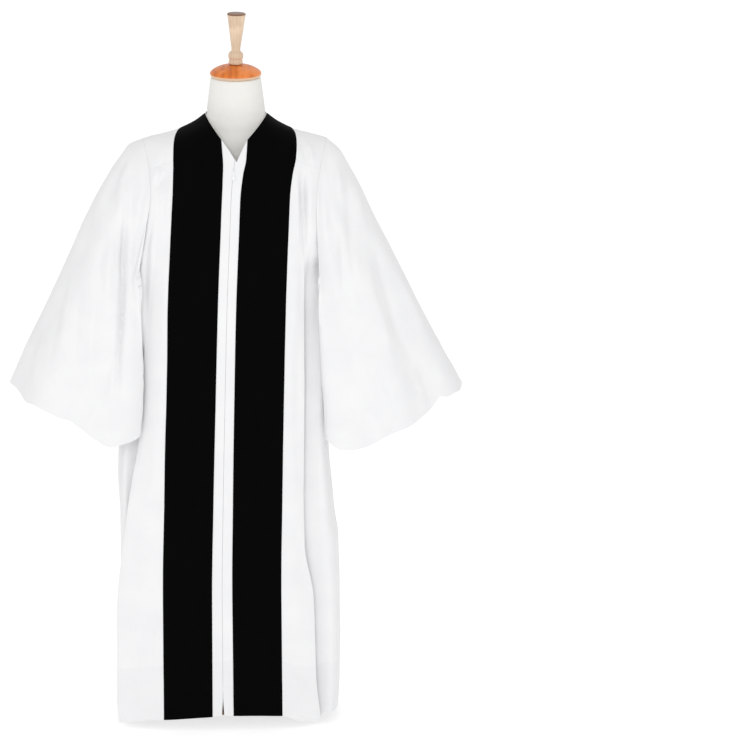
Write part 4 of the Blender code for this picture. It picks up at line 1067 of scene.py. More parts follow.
def makeBody():
    back = backGrid(stackOf(backSection))
    yoke = backYokeGrid(back)
    backNormal, yokeNormal = -normalsOf(back), -normalsOf(yoke)
    standOnRidge(yoke, yokeNormal)
    middles = []
    for side, name in sideNames.items():
        front = frontGrid(side, stackOf(lambda height: frontSection(side, height)))
        frontYoke = frontYokeGrid(side, front)
        frontNormal, frontYokeNormal = normalsOf(front) * side, normalsOf(frontYoke) * side
        standOnRidge(frontYoke, frontYokeNormal)
        shareNormals(frontNormal[-1, mesh["band"] :], frontYokeNormal[0])
        edge = 0 if side == right else -1
        rows = sum(seamCounts) + 1
        shareNormals(frontNormal[:rows, -1], backNormal[:rows, edge])
        front = settled(front, frontNormal, bodyCreases, share=awayFromArmholes(front, ("last",)))
        share = awayFromArmholes(frontYoke, ("last",))
        frontYoke = settled(frontYoke, frontYokeNormal, bodyCreases, share=share)
        middles.append(front[:, 0].copy())
        makeVelvet(side, name, front, frontYoke)
        makeTape(side, name, front, frontNormal)
        lines["front", side] = (front.copy(), frontNormal)
        lines["frontYoke", side] = (frontYoke.copy(), frontYokeNormal)
        alongEdge(front, row=len(front) - 1)
        alongEdge(front, column=front.shape[1] - 1)
        alongEdge(frontYoke, row=0)
        alongEdge(frontYoke, row=yokeRows - 1)
        alongEdge(frontYoke, column=frontYoke.shape[1] - 1)
        whiteCloth("front_" + name, front, frontNormal)
        whiteCloth("yoke_front_" + name, frontYoke, frontYokeNormal)
    shareNormals(backNormal[-1], yokeNormal[0])
    bothEnds = ("first", "last")
    back = settled(back, backNormal, bodyCreases, share=awayFromArmholes(back, bothEnds))
    yoke = settled(yoke, yokeNormal, bodyCreases, share=awayFromArmholes(yoke, bothEnds))
    lines["back"] = (back.copy(), backNormal)
    lines["backYoke"] = (yoke.copy(), yokeNormal)
    alongEdge(back, row=len(back) - 1)
    alongEdge(yoke, row=0)
    alongEdge(yoke, row=yokeRows - 1)
    for grid in (back, yoke):
        alongEdge(grid, column=0)
        alongEdge(grid, column=grid.shape[1] - 1)
    whiteCloth("back", back, backNormal)
    whiteCloth("yoke_back", yoke, yokeNormal)
    return (middles[0] + middles[1]) / 2


# A velvet's long edges are turned under, so they are lower and round: columns added beside an edge
# and how far in it is round, counted in columns, and its height there as a share
velvetEdge = {"columns": (0.0, 0.12, 0.4), "round": 0.5, "low": 0.35}


# The velvet panel, from the points that the front and its yoke share
def makeVelvet(side, name, front, yoke):
    columns = slice(mesh["band"], mesh["band"] + mesh["velvet"] + 1)
    base = np.concatenate([front[:-1, columns], yoke[:, : mesh["velvet"] + 1]])
    extra = np.array(velvetEdge["columns"])
    places = np.concatenate([extra, np.arange(1, mesh["velvet"]), mesh["velvet"] - extra[::-1]])
    low = np.clip(places.astype(int), 0, mesh["velvet"] - 1)
    part = (places - low)[None, :, None]
    base = base[:, low] * (1 - part) + base[:, low + 1] * part
    normal = normalsOf(base) * side
    alongEdge(base, row=len(base) - 1, by=cut["seam"])
    fromEdge = np.minimum(places, mesh["velvet"] - places) / velvetEdge["round"]
    low = velvetEdge["low"]
    rise = cut["velvet"] * (low + (1 - low) * np.sqrt(np.clip(fromEdge, 0, 1)))[None, :, None]
    outer = base + normal * (cut["laidOn"] * 0.5 + rise)
    lines["velvet", side] = (outer.copy(), normal)
    inner = base + normal * cut["laidOn"] * 0.5
    clothWall("velvet_" + name, outer, inner)


# The zip's tape behind the front's edge, from the zip's foot to the neck
def makeTape(side, name, front, normal):
    rows = front[:, 0, 2] > cut["zipBottom"]
    outer = front[rows][:, : mesh["band"] + 1]
    away = normal[rows][:, : mesh["band"] + 1]
    outer = outer - away * (cut["cloth"] + cut["laidOn"])
    clothWall("zip_tape_" + name, outer, outer - away * cut["tape"])


def makeSleeves():
    for side, name in sideNames.items():
        grid = sleeveGrid(side)
        normal = normalsOf(grid, around=True) * side
        normal[0] = unit(normal[0] * (0, 1, 1))
        moved = settled(grid, normal, sleeveCreases[side], seed=sleeveSeed * side)
        fade = ease(np.linspace(0, 1, len(grid)), 0, cut["sleeveHold"])[:, None, None]
        grid = grid + (moved - grid) * fade
        normal[1:] = normalsOf(grid, around=True)[1:] * side
        lines["sleeve", side] = (grid.copy(), normal)
        whiteCloth("sleeve_" + name, grid, normal, around=True)


middleLine = makeBody()
makeSleeves()
print("cloth made:", ", ".join(sorted(cloth)))


# Modelling by hand: only the new object is selected while it is shaped
def startOn(made=None):
    if bpy.context.object and bpy.context.object.mode != "OBJECT":
        bpy.ops.object.mode_set(mode="OBJECT")
    bpy.ops.object.select_all(action="DESELECT")
    if made:
        made.select_set(True)
    bpy.context.view_layer.objects.active = made


def editMode(kind="FACE"):
    bpy.ops.object.mode_set(mode="EDIT")
    bpy.ops.mesh.select_mode(type=kind)
    bpy.ops.mesh.select_all(action="DESELECT")


def selectFaces(made, wanted):
    shape = bmesh.from_edit_mesh(made.data)
    for face in shape.faces:
        face.select_set(wanted(face))
    bmesh.update_edit_mesh(made.data)


def applyAll(made):
    startOn(made)
    for change in list(made.modifiers):
        bpy.ops.object.modifier_apply(modifier=change.name)


def bevelEdges(made, width, segments=2, angle=35):
    change = made.modifiers.new("soft edges", "BEVEL")
    change.width, change.segments = width, segments
    change.limit_method, change.angle_limit = "ANGLE", math.radians(angle)


def shadeSmooth(made, angle=40):
    startOn(made)
    bpy.ops.object.shade_smooth_by_angle(angle=math.radians(angle))


# Moves a finished piece to its place, which then lies in its mesh
def placeAt(made, place, turn=(0, 0, 0)):
    made.location, made.rotation_euler = place, turn
    startOn(made)
    bpy.ops.object.transform_apply(location=True, rotation=True, scale=True)


# A round piece, raised ring by ring from its foot. Each ring is half its width across, half its
# depth and its height.
def turnOnLathe(name, rings, around, rounding):
    startOn()
    wide, deep, height = rings[0]
    bpy.ops.mesh.primitive_circle_add(vertices=around, fill_type="NGON", location=(0, 0, height))
    made = bpy.context.object
    made.name = made.data.name = name
    bpy.ops.object.transform_apply(location=True, rotation=False, scale=False)
    bpy.ops.object.mode_set(mode="EDIT")
    bpy.ops.mesh.select_mode(type="FACE")
    bpy.ops.mesh.select_all(action="SELECT")
    bpy.ops.transform.resize(value=(wide, deep, 1), center_override=(0, 0, height))
    for nextWide, nextDeep, nextHeight in rings[1:]:
        raised = {"value": (0, 0, nextHeight - height)}
        bpy.ops.mesh.extrude_region_move(TRANSFORM_OT_translate=raised)
        size = (nextWide / wide, nextDeep / deep, 1)
        bpy.ops.transform.resize(value=size, center_override=(0, 0, nextHeight))
        wide, deep, height = nextWide, nextDeep, nextHeight
    bpy.ops.mesh.select_all(action="SELECT")
    bpy.ops.mesh.normals_make_consistent(inside=False)
    bpy.ops.object.mode_set(mode="OBJECT")
    bevelEdges(made, rounding)
    applyAll(made)
    shadeSmooth(made)
    return made


form = {
    "x": 0.003,
    "neckTop": 1.4540,
    "neckLean": math.radians(5.5),
    "handleLean": math.radians(1.4),
    "handleLift": 0.00065,
    "poleY": 0.050,
    "baseWide": 1.55,
    "baseRadius": 0.086,
    "collar": 0.030,
    "rim": 0.0016,
    # half the width and the height of each ring, in millimetres
    "capRings": (
        (54.5, 0), (56.1, 3), (56.7, 6.6), (56, 10), (50.5, 15),
        (40.5, 20.5), (28, 24.6), (14, 26.8), (4, 27.4),
    ),
    "handleRings": (
        (14.8, 0), (15.6, 3), (15.3, 7.8), (14.7, 10.5), (16.2, 14),
        (16.9, 18.8), (16, 23.2), (13.4, 26.6), (10.4, 29.6), (10, 34.5),
        (12.4, 52), (14.9, 70), (17.6, 90), (20.5, 110.2),
    ),
    "handleTop": ((20.5, 112), (19.2, 113)),
    "baseRings": (
        (84, 0), (86, 2), (86, 7), (82, 11), (76, 12),
        (34, 12), (30, 16), (27, 30), (24, 32),
    ),
}


crown = np.array((form["x"], 0, form["neckTop"])) + standPlace  # the middle of the neck's top


def ringsOf(name):
    return np.array(form[name]) / 1000


def makeForm():
    lean = form["neckLean"]
    up = np.array((0, -math.sin(lean), math.cos(lean)))
    rings = [(r, r, h) for r, h in curveThrough(ringsOf("capRings"), 2)]
    cap = turnOnLathe("form_wooden_cap", rings, 72, 0.0004)
    placeAt(cap, crown + up * cut["laidOn"], (lean, 0, 0))
    rounded = curveThrough(ringsOf("handleRings"), 3)
    rings = [(r, r, h) for r, h in (*rounded, *ringsOf("handleTop"))]
    handle = turnOnLathe("form_wooden_handle", rings, 48, 0.0004)
    lift = ringsOf("capRings")[-1, 1] + cut["laidOn"] + form["handleLift"]
    placeAt(handle, (0, 0, 0), (0, form["handleLean"], 0))
    placeAt(handle, crown + up * lift, (lean, 0, 0))
    rings = []
    for r, h in ringsOf("baseRings"):
        beyond = max(r - form["collar"], 0) / form["baseRadius"]
        rings.append((r * (1 + (form["baseWide"] - 1) * beyond), r, h))
    base = turnOnLathe("form_wooden_base", rings, 96, 0.0012)
    placeAt(base, standPlace + (form["x"], form["poleY"], 0))
    return cap, handle, base, makeTorso()


# A copy of a node's solid, joined into one skin
def skinOf(node, name):
    made = bpy.data.objects.new(name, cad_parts[node].data.copy())
    made.data.name = name
    made.data.materials.clear()
    bpy.context.scene.collection.objects.link(made)
    startOn(made)
    editMode("VERT")
    bpy.ops.mesh.select_all(action="SELECT")
    bpy.ops.mesh.remove_doubles(threshold=0.00001)
    return made


# The torso under its jersey: the solid's own form, rounded
def makeTorso():
    torso = skinOf("form_torso", "form_torso_jersey")
    bpy.ops.mesh.dissolve_limited(angle_limit=math.radians(0.3))
    flat, square = math.radians(40), math.radians(60)
    bpy.ops.mesh.tris_convert_to_quads(face_threshold=flat, shape_threshold=square)
    bpy.ops.mesh.select_mode(type="FACE")
    selectFaces(torso, lambda face: len(face.verts) > 8 and abs(face.normal.z) > 0.9)
    bpy.ops.mesh.inset(thickness=form["rim"])
    bpy.ops.object.mode_set(mode="OBJECT")
    rounder = torso.modifiers.new("rounder", "SUBSURF")
    rounder.levels = rounder.render_levels = 2
    applyAll(torso)
    shadeSmooth(torso, 50)
    return torso


capPiece, handlePiece, basePiece, torsoPiece = makeForm()
print("dress form made")

zipSizes = {
    "pitch": 0.00155,
    "toothLong": 0.0019,
    "toothTall": 0.00085,
    "toothDeep": 0.0013,
    "headShare": 0.45,
    "sunk": 0.0016,
    "fromMiddle": 0.00095,
    "coilTop": 1.2560,
    "edges": 0.00012,
}


# One tooth of the zip: a block with a rounder, wider head
def modelTooth():
    startOn()
    bpy.ops.mesh.primitive_cube_add(size=1)
    made = bpy.context.object
    editMode()
    selectFaces(made, lambda face: face.normal.x > 0.9)
    bpy.ops.mesh.extrude_region_move(TRANSFORM_OT_translate={"value": (0.35, 0, 0)})
    bpy.ops.transform.resize(value=(1, 0.7, 1.35), center_override=(0.85, 0, 0))
    bpy.ops.mesh.extrude_region_move(TRANSFORM_OT_translate={"value": (0.25, 0, 0)})
    bpy.ops.transform.resize(value=(1, 0.6, 0.6), center_override=(1.1, 0, 0))
    return takeShape(made)


# One stitch: a short thread with thin ends
def modelStitch():
    startOn()
    bpy.ops.mesh.primitive_cube_add(size=1)
    made = bpy.context.object
    editMode()
    for end in (-1, 1):
        selectFaces(made, lambda face: face.normal.x * end > 0.9)
        bpy.ops.transform.resize(value=(1, 0.45, 0.3), center_override=(end * 0.5, 0, -0.3))
    return takeShape(made)


# The points and faces of a small model, which is then removed
def takeShape(made):
    bpy.ops.object.mode_set(mode="OBJECT")
    points = np.array([vertex.co for vertex in made.data.vertices])
    faces = np.array([list(face.vertices) for face in made.data.polygons])
    bpy.data.objects.remove(made, do_unlink=True)
    return points, faces


# Copies of a small model along a line, joined into one mesh: x runs along, z stands outwards
def repeatAlong(model, places, along, outward, size):
    points, faces = model
    sideways = np.cross(outward, along)
    axes = np.stack([along * size[0], sideways * size[1], outward * size[2]], axis=1)
    vertices = np.einsum("pk,nkc->npc", points, axes) + places[:, None, :]
    starts = len(points) * np.arange(len(places))
    return vertices.reshape(-1, 3), (faces + starts[:, None, None]).reshape(-1, 4)


def joinedMesh(name, batches):
    vertices, faces, start = [], [], 0
    for points, corners in batches:
        vertices.append(points)
        faces.append(corners + start)
        start += len(points)
    return newObject(name, np.concatenate(vertices), np.concatenate(faces), 40)


# Even places along a line, with the directions along it and out of the cloth
def spaced(points, normals, pitch):
    lengths = walked(points)
    at = np.arange(pitch / 2, lengths[-1], pitch)
    places, outward = pointsAt(at, lengths, points), pointsAt(at, lengths, normals)
    along = unit(np.gradient(places, axis=0))
    return places, along, unit(outward - along * (outward * along).sum(axis=1, keepdims=True))


def makeTeeth():
    tooth = modelTooth()
    height = middleLine[:, 2]
    line = middleLine[(height > cut["zipBottom"]) & (height < zipSizes["coilTop"])]
    lean = np.gradient(line, axis=0)
    outward = np.column_stack([np.zeros(len(line)), -lean[:, 2], lean[:, 1]])
    places, up, outward = spaced(line, unit(outward), zipSizes["pitch"] / 2)
    places = places - outward * zipSizes["sunk"]
    long = zipSizes["toothLong"] * zipSizes["headShare"]
    size = (long, zipSizes["toothTall"], zipSizes["toothDeep"])
    batches = []
    for side in sideNames:
        mine = slice(0 if side == right else 1, None, 2)
        across = np.cross(up, outward)[mine] * side
        roots = places[mine] + across * zipSizes["fromMiddle"]
        batches.append(repeatAlong(tooth, roots, -across, outward[mine], size))
    return joinedMesh("zip_teeth", batches)


def makeMetalwork(node, name):
    made = skinOf(node, name)
    bpy.ops.mesh.dissolve_limited(angle_limit=math.radians(1))
    bpy.ops.object.mode_set(mode="OBJECT")
    bevelEdges(made, zipSizes["edges"], 2, 25)
    applyAll(made)
    shadeSmooth(made, 50)
    return made


teethPiece = makeTeeth()
sliderPiece = makeMetalwork("zip_slider", "zip_slider_body")
pullPiece = makeMetalwork("zip_pull", "zip_pull_tab")
print("zip made")

# A stitch's sizes, and how far in from its edge each row of stitches runs
stitches = {
    "pitch": 0.0032,
    "long": 0.0024,
    "wide": 0.00045,
    "proud": 0.00040,
    "zipRows": (0.0072, 0.0086),
    "yoke": 0.0030,
    "armhole": 0.0040,
    "velvet": 0.0026,
    "cuff": 0.030,
    "nape": 0.0050,
    "napeColumns": slice(70, -70),
}


# The line on a grid that lies a given distance in from one of its edges
def insideEdge(grid, normal, distance, edge):
    if edge in ("bottom", "top"):
        grid, normal = grid.swapaxes(0, 1), normal.swapaxes(0, 1)
    if edge in ("last", "top"):
        grid, normal = grid[:, ::-1], normal[:, ::-1]
    points, normals = [], []
    for row, away in zip(grid, normal):
        lengths = walked(row)
        points.append([np.interp(distance, lengths, column) for column in row.T])
        normals.append([np.interp(distance, lengths, column) for column in away.T])
    return np.array(points), np.array(normals)


def makeStitches():
    stitch = modelStitch()
    size = (stitches["long"], stitches["wide"], stitches["proud"])
    white, black = [], []

    def sew(batches, points, normals):
        places, along, outward = spaced(points, normals, stitches["pitch"])
        batches.append(repeatAlong(stitch, places, along, outward, size))

    for side in sideNames:
        for inwards in stitches["zipRows"]:
            sew(white, *insideEdge(*lines["front", side], inwards, "first"))
        sew(white, *insideEdge(*lines["front", side], cut["hemDepth"], "bottom"))
        yoke = lines["frontYoke", side]
        beyond = [part[:, mesh["velvet"] + 2 :] for part in yoke]
        for edge in ("bottom", "top"):
            sew(white, *insideEdge(*beyond, stitches["yoke"], edge))
        sew(white, *insideEdge(*yoke, stitches["armhole"], "last"))
        for edge in ("first", "last"):
            sew(black, *insideEdge(*lines["velvet", side], stitches["velvet"], edge))
        sew(white, *insideEdge(*lines["sleeve", side], stitches["cuff"], "top"))
    sew(white, *insideEdge(*lines["back"], cut["hemDepth"], "bottom"))
    sew(white, *insideEdge(*lines["backYoke"], stitches["yoke"], "bottom"))
    nape = [part[:, stitches["napeColumns"]] for part in lines["backYoke"]]
    sew(white, *insideEdge(*nape, stitches["nape"], "top"))
    return joinedMesh("stitching_white", white), joinedMesh("stitching_black", black)


whiteStitches, blackStitches = makeStitches()
print("stitches made")


# A socket with Python's own arithmetic
class Signal:
    def __init__(self, finish, socket):
        self.finish, self.socket = finish, socket

    def maths(self, kind, first, second=0.0):
        node = self.finish.node("Math", {"operation": kind}, {0: first, 1: second})
        return Signal(self.finish, node.outputs[0])

    def wave(self, length):
        return self.maths("SINE", self * (2 * math.pi / length))

    def rise(self, start, end):
        settings = {"interpolation_type": "SMOOTHSTEP"}
        node = self.finish.node("MapRange", settings, {0: self, 1: start, 2: end})
        return Signal(self.finish, node.outputs[0])


# The four signs of arithmetic, also with a number in front of them
for sign, kind in (("add", "ADD"), ("sub", "SUBTRACT"), ("mul", "MULTIPLY"), ("truediv", "DIVIDE")):
    setattr(Signal, f"__{sign}__", lambda self, other, kind=kind: self.maths(kind, self, other))
    setattr(Signal, f"__r{sign}__", lambda self, other, kind=kind: self.maths(kind, other, self))


# One material: its shader with the values that are the same all over, and helpers for the rest
class Finish:
    def __init__(self, name, **values):
        self.material = bpy.data.materials.new(name)
        self.material.use_nodes = True
        self.tree = self.material.node_tree
        self.shader = self.tree.nodes["Principled BSDF"]
        self.give(**values)

    def give(self, **values):
        self.set(self.shader, values)

    def set(self, node, values):
        for key, value in values.items():
            socket = node.inputs[key.replace("_", " ") if isinstance(key, str) else key]
            if isinstance(value, Signal):
                self.tree.links.new(value.socket, socket)
            elif isinstance(value, tuple) and len(value) == 3 and socket.type == "RGBA":
                socket.default_value = (*value, 1)
            else:
                socket.default_value = value

    def node(self, kind, settings, values):
        made = self.tree.nodes.new("ShaderNode" + kind)
        for key, value in settings.items():
            setattr(made, key, value)
        self.set(made, values)
        return made

    def woven(self):
        made = self.node("UVMap", {"uv_map": "weave"}, {})
        return self.split(Signal(self, made.outputs[0]))

    def place(self, moved=(0, 0, 0), turned=(0, 0, 0)):
        made = self.node("TexCoord", {}, {})
        start = Signal(self, made.outputs["Object"])
        made = self.node("Mapping", {"vector_type": "TEXTURE"}, {0: start, 1: moved, 2: turned})
        return Signal(self, made.outputs[0])

    def split(self, vector):
        made = self.node("SeparateXYZ", {}, {0: vector})
        return [Signal(self, socket) for socket in made.outputs]

    def joined(self, x, y, z):
        made = self.node("CombineXYZ", {}, {0: x, 1: y, 2: z})
        return Signal(self, made.outputs[0])

    def noise(self, place, size, detail=2.0, rough=0.5):
        values = {"Vector": place, "Scale": 1 / size, "Detail": detail, "Roughness": rough}
        made = self.node("TexNoise", {}, values)
        return Signal(self, made.outputs[0])

    def mix(self, part, first, second):
        made = self.node("Mix", {"data_type": "RGBA"}, {0: part, 6: first, 7: second})
        return Signal(self, made.outputs[2])

    def bump(self, height, distance, strength=1.0):
        values = {"Height": height, "Distance": distance, "Strength": strength}
        made = self.node("Bump", {}, values)
        self.set(self.shader, {"Normal": Signal(self, made.outputs[0])})


# White cloth: a plain weave with a soft sheen, a slight unevenness in its tone, and painted shade
# on the hem band where asked
whiteLook = {
    "light": (0.845, 0.845, 0.850),
    "dark": (0.795, 0.795, 0.806),
    "thread": 0.00055,
    "rough": 0.50,
    # the hem band's painted shade: its soft edge, its darker tone and how much of it is mixed in
    "hemShadeSoft": 0.001,
    "hemShadeTone": 0.955,
    "hemShadeShare": 0.40,
}


def whiteClothFinish(name, hemShaded=False):
    finish = Finish(name, Sheen_Weight=0.12, Sheen_Roughness=0.45, Specular_IOR_Level=0.35)
    u, v, _ = finish.woven()
    thread = whiteLook["thread"]
    weave = u.wave(thread) * v.wave(thread)
    place = finish.place()
    slub = finish.noise(finish.joined(u * 40.0, v * 900.0, 0.0), 1.0, 3.0)
    cloudy = finish.noise(place, 0.060, 3.0)
    part = (cloudy - 0.35) * 1.6 + weave * 0.06 + (slub - 0.5) * 0.25
    colour = finish.mix(part, whiteLook["dark"], whiteLook["light"])
    if hemShaded:  # painted shade: the turned-up hem is of two layers, and its band is painted darker
        soft = whiteLook["hemShadeSoft"]
        hemShadeMask = 1 - v.rise(cut["hemDepth"] - soft, cut["hemDepth"] + soft)
        shaded = tuple(c * whiteLook["hemShadeTone"] for c in whiteLook["dark"])
        colour = finish.mix(hemShadeMask * whiteLook["hemShadeShare"], colour, shaded)
    finish.give(Base_Color=colour, Roughness=whiteLook["rough"] + cloudy * 0.10 - weave * 0.04)
    finish.bump(weave * 0.5 + slub * 0.8, 0.00003, 0.5)
    return finish.material


# Velvet: a short pile that lies in uneven patches
velvetLook = {
    "dark": (0.0006, 0.0006, 0.0006),
    "light": (0.0022, 0.0022, 0.0023),
    "rough": 0.84,
    "pile": 0.0006,
    "patch": 0.030,
}


def velvetFinish():
    finish = Finish("black_velvet", Sheen_Weight=0.02, Sheen_Roughness=0.4, Specular_IOR_Level=0.03)
    u, v, _ = finish.woven()
    place = finish.joined(u, v, 0.0)
    pile = finish.noise(place, velvetLook["pile"], 2.0)
    nap = finish.noise(finish.joined(u, v * 0.35, 0.0), velvetLook["patch"], 3.0)
    part = pile * 0.5 + nap * 0.6
    colour = finish.mix(part, velvetLook["dark"], velvetLook["light"])
    finish.give(Base_Color=colour, Roughness=velvetLook["rough"] + nap * 0.14)
    finish.bump(pile, 0.0002, 0.35)
    return finish.material


# The form's jersey: a fine knit, stretched
jerseyLook = {
    "dark": (0.765, 0.750, 0.715),
    "light": (0.850, 0.840, 0.805),
    "rough": 0.68,
    "stitch": (0.0013, 0.0011),
    "cloud": 0.045,
}


def jerseyFinish():
    finish = Finish("form_jersey", Sheen_Weight=0.08, Sheen_Roughness=0.5, Specular_IOR_Level=0.25)
    place = finish.place((form["x"], 0, 0))
    x, y, z = finish.split(place)
    wide, tall = jerseyLook["stitch"]
    knit = (x + y * 0.7).wave(wide) * z.wave(tall)
    cloudy = finish.noise(place, jerseyLook["cloud"], 3.0)
    part = cloudy * 0.8 + knit * 0.10
    colour = finish.mix(part, jerseyLook["dark"], jerseyLook["light"])
    finish.give(Base_Color=colour, Roughness=jerseyLook["rough"] + cloudy * 0.16)
    finish.bump(knit, 0.00006, 0.5)
    return finish.material


# Turned wood: its two tones, the width of its rings, how rough it is and how much lacquer is left.
# An end is a height, how soft its edge is, its tone, and whether it is the part above.
woods = {
    "cap_wood": {
        "dark": (0.46, 0.080, 0.006),
        "light": (0.80, 0.225, 0.022),
        "ring": 0.016,
        "rough": 0.28,
        "coat": 0.16,
        # painted highlight: below this height the cap is painted pale, for the bright rim along its
        # lower edge
        "end": (0.0062, 0.0016, (0.72, 0.50, 0.34), False),
    },
    "handle_wood": {
        "dark": (0.56, 0.395, 0.270),
        "light": (0.72, 0.550, 0.390),
        "ring": 0.007,
        "rough": 0.34,
        "coat": 0.35,
        "end": (0.1385, 0.0006, (0.20, 0.085, 0.035), True),
    },
    "base_wood": {
        "dark": (0.115, 0.052, 0.024),
        "light": (0.235, 0.115, 0.055),
        "ring": 0.012,
        "rough": 0.3,
        "coat": 0.35,
        "end": None,
    },
}


# The grain runs along the piece, and worn patches are lighter
def woodFinish(name, moved, turned=(0, 0, 0)):
    look = woods[name]
    finish = Finish(name, Coat_Roughness=0.18, Specular_IOR_Level=0.35)
    place = finish.place(moved, turned)
    x, y, z = finish.split(place)
    wander = finish.noise(finish.joined(x, y, z * 0.25), 0.020, 3.0)
    grain = (x + wander * 0.020).wave(look["ring"]) * 0.5 + 0.5
    fibre = finish.noise(finish.joined(x, y, z * 0.06), 0.0012, 3.0, 0.6)
    part = grain * 0.35 + fibre * 0.35 + wander * 0.4
    pale = tuple(c * 1.05 + 0.05 for c in look["light"])
    patch = finish.noise(place, 0.045, 2.0).rise(0.46, 0.64)
    colour = finish.mix(patch * 0.7, finish.mix(part, look["dark"], look["light"]), pale)
    # An end band in another tone: on the cap a painted highlight along the lower rim, on the handle
    # a darker top
    if look["end"]:
        height, soft, other, above = look["end"]
        over = z.rise(height - soft, height + soft)
        colour = finish.mix(over if above else 1 - over, colour, other)
    finish.give(Base_Color=colour, Roughness=look["rough"] + fibre * 0.18)
    finish.give(Coat_Weight=look["coat"] - fibre * look["coat"] * 0.55)
    finish.bump(fibre * 0.6 + grain * 0.3, 0.0002, 0.35)
    return finish.material


# The zip: woven tape with moulded teeth, and enamelled metal that has worn through in small patches
zipLook = {
    "tape": ((0.76, 0.765, 0.78), (0.84, 0.845, 0.86)),
    "plastic": ((0.77, 0.78, 0.80), (0.86, 0.865, 0.88)),
    "enamel": (0.80, 0.81, 0.83),
    "bareMetal": (0.56, 0.56, 0.57),
}


def tapeFinish():
    finish = Finish("zip_tape", Sheen_Weight=0.05, Specular_IOR_Level=0.35)
    u, v, _ = finish.woven()
    rib = u.wave(0.0011) * 0.6 + v.wave(0.0007) * 0.4
    worn = finish.noise(finish.place(), 0.02, 2.0)
    colour = finish.mix(worn + rib * 0.1, *zipLook["tape"])
    finish.give(Base_Color=colour, Roughness=0.62 + rib * 0.06)
    finish.bump(rib, 0.00008, 0.6)
    return finish.material


def plasticFinish():
    finish = Finish("zip_plastic", Specular_IOR_Level=0.5)
    worn = finish.noise(finish.place(), 0.004, 3.0)
    finish.give(Base_Color=finish.mix(worn, *zipLook["plastic"]), Roughness=0.30 + worn * 0.16)
    finish.bump(worn, 0.00004, 0.4)
    return finish.material


threads = {
    "white_thread": ((0.80, 0.80, 0.81), (0.89, 0.89, 0.90)),
    "black_thread": ((0.004, 0.004, 0.004), (0.010, 0.010, 0.011)),
}


def threadFinish(name):
    finish = Finish(name, Sheen_Weight=0.1, Specular_IOR_Level=0.3)
    place = finish.place()
    x, y, z = finish.split(place)
    twist = (x + y + z * 2.0).wave(0.0004)
    worn = finish.noise(place, 0.003, 3.0)
    colour = finish.mix(worn + twist * 0.15, *threads[name])
    finish.give(Base_Color=colour, Roughness=0.50 + worn * 0.16)
    finish.bump(twist, 0.00004, 0.5)
    return finish.material


def metalFinish():
    finish = Finish("zip_metal", Specular_IOR_Level=0.5, Coat_Roughness=0.12)
    place = finish.place()
    worn = finish.noise(place, 0.0022, 4.0, 0.6).rise(0.60, 0.72)
    fine = finish.noise(place, 0.0006, 2.0)
    finish.give(Base_Color=finish.mix(worn, zipLook["enamel"], zipLook["bareMetal"]))
    finish.give(Metallic=worn * 0.8, Roughness=0.24 + worn * 0.16 + fine * 0.05)
    finish.give(Coat_Weight=0.5 - worn * 0.5)
    finish.bump(fine * 0.3 - worn * 0.7, 0.00003, 0.5)
    return finish.material


def wear(made, material, slot, replaced=(), body="robe_on_form"):
    made.data.materials.clear()
    made.data.materials.append(material)
    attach(made, body)
    if replaced:
        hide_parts(*replaced)


plainWhite, velvet, tape = whiteClothFinish("white_cloth"), velvetFinish(), tapeFinish()
# The fronts and the back wear a copy with painted shade on the hem band
hemShadedWhite = whiteClothFinish("white_cloth_hem_shade", hemShaded=True)
clothFinishes = {
    "yoke": (plainWhite, "white_cloth"),
    "sleeve": (plainWhite, "white_cloth"),
    "velvet": (velvet, "black_velvet"),
    "zip": (tape, "zip_plastic"),
    "back": (hemShadedWhite, "white_cloth"),
    "front": (hemShadedWhite, "white_cloth"),
}
for name, made in cloth.items():
    wear(made, *clothFinishes[name.split("_")[0]], (name,))
neckPlace = (tuple(crown), (form["neckLean"], 0, 0))
foot = (form["x"] + standPlace[0], form["poleY"] + standPlace[1], 0)
baseWood = woodFinish("base_wood", foot)
wear(torsoPiece, jerseyFinish(), "form_jersey", ("form_torso",))
wear(capPiece, woodFinish("cap_wood", *neckPlace), "cap_wood", ("form_cap",))
wear(handlePiece, woodFinish("handle_wood", *neckPlace), "handle_wood", ("form_handle",))
wear(basePiece, baseWood, "base_wood", ("form_base",))
wear(teethPiece, plasticFinish(), "zip_plastic", ("zip_coil",))
metal = metalFinish()
wear(sliderPiece, metal, "zip_metal", ("zip_slider",))
wear(pullPiece, metal, "zip_metal", ("zip_pull",), "pull_tab")
wear(whiteStitches, threadFinish("white_thread"), "white_cloth")
wear(blackStitches, threadFinish("black_thread"), "black_velvet")
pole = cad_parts["form_pole"]
pole.data.materials.clear()
pole.data.materials.append(baseWood)
print("materials made")

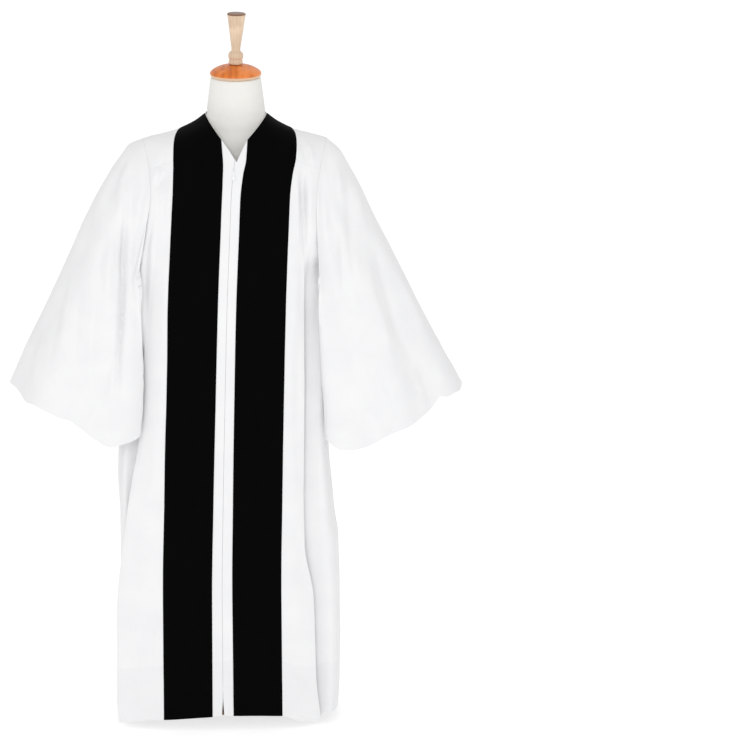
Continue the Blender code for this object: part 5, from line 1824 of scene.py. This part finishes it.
# The size that each piece of cloth was cut to, laid flat, its area where it isn't a rectangle, and
# what it rests on. The two sides are cut alike.
cuts = {
    "back": (1.10, 1.24, 1.05, "yoke_back"),
    "front_{}": (0.50, 1.30, 0.45, "yoke_front_{}", "zip_coil"),
    "yoke_front_{}": (0.22, 0.16, 0.022, "form_torso"),
    "yoke_back": (0.46, 0.20, 0.075, "form_torso"),
    "sleeve_{}": (0.80, 0.60, 0.36, "yoke_front_{}", "yoke_back"),
    "velvet_{}": (0.112, 1.42, 0.155, "front_{}", "yoke_front_{}"),
    "zip_tape_{}": (0.026, 1.24, 0.026, "front_{}"),
}
for kind, (width, length, area, *rests) in cuts.items():
    for name in sideNames.values() if "{}" in kind else ("",):
        made = cloth[kind.format(name)]

# A pale floor, a white surround and soft studio light
studio = {
    "floor": 0.42,
    "glow": 0.70,
    "surround": 1.03,
    "sky": 0.85,
    "key": 54,
    "fill": 10,
}


def softBox(name, place, aim, size, power):
    light = bpy.data.lights.new(name, "AREA")
    light.energy, light.size, light.shape = power, size, "SQUARE"
    made = bpy.data.objects.new(name, light)
    bpy.context.scene.collection.objects.link(made)
    made.location = place
    made.rotation_euler = (Vector(aim) - Vector(place)).to_track_quat("-Z", "Y").to_euler()


def makeStudio():
    startOn()
    bpy.ops.mesh.primitive_plane_add(size=40, location=(0, 0, 0))
    floor = bpy.context.object
    floor.name = "studio_floor"
    finish = Finish("studio_floor", Roughness=0.9, Specular_IOR_Level=0.1)
    finish.give(Emission_Strength=studio["glow"], Emission_Color=(1.0, 1.0, 1.0))
    grain = finish.noise(finish.place(), 0.4, 2.0)
    pale = studio["floor"]
    finish.give(Base_Color=finish.mix(grain, (pale, pale, pale), (pale + 0.02,) * 3))
    floor.data.materials.append(finish.material)
    world = bpy.data.worlds.new("studio")
    bpy.context.scene.world = world
    world.use_nodes = True
    surround, tree = world.node_tree.nodes["Background"], world.node_tree
    surround.inputs["Color"].default_value = (1, 1, 1, 1)
    seen = tree.nodes.new("ShaderNodeLightPath")
    strength = tree.nodes.new("ShaderNodeMapRange")
    strength.inputs["To Min"].default_value = studio["sky"]
    strength.inputs["To Max"].default_value = studio["surround"]
    tree.links.new(seen.outputs["Is Camera Ray"], strength.inputs["Value"])
    tree.links.new(strength.outputs[0], surround.inputs["Strength"])
    softBox("key", (-1.2, -5.4, 2.9), (0, 0, 0.9), 1.8, studio["key"])
    softBox("fill", (3.0, -4.0, 2.2), (0, 0, 0.8), 2.6, studio["fill"])
    bpy.context.scene.view_settings.view_transform = "Standard"
    bpy.context.scene.view_settings.look = "None"


makeStudio()
print("studio made")

startOn()
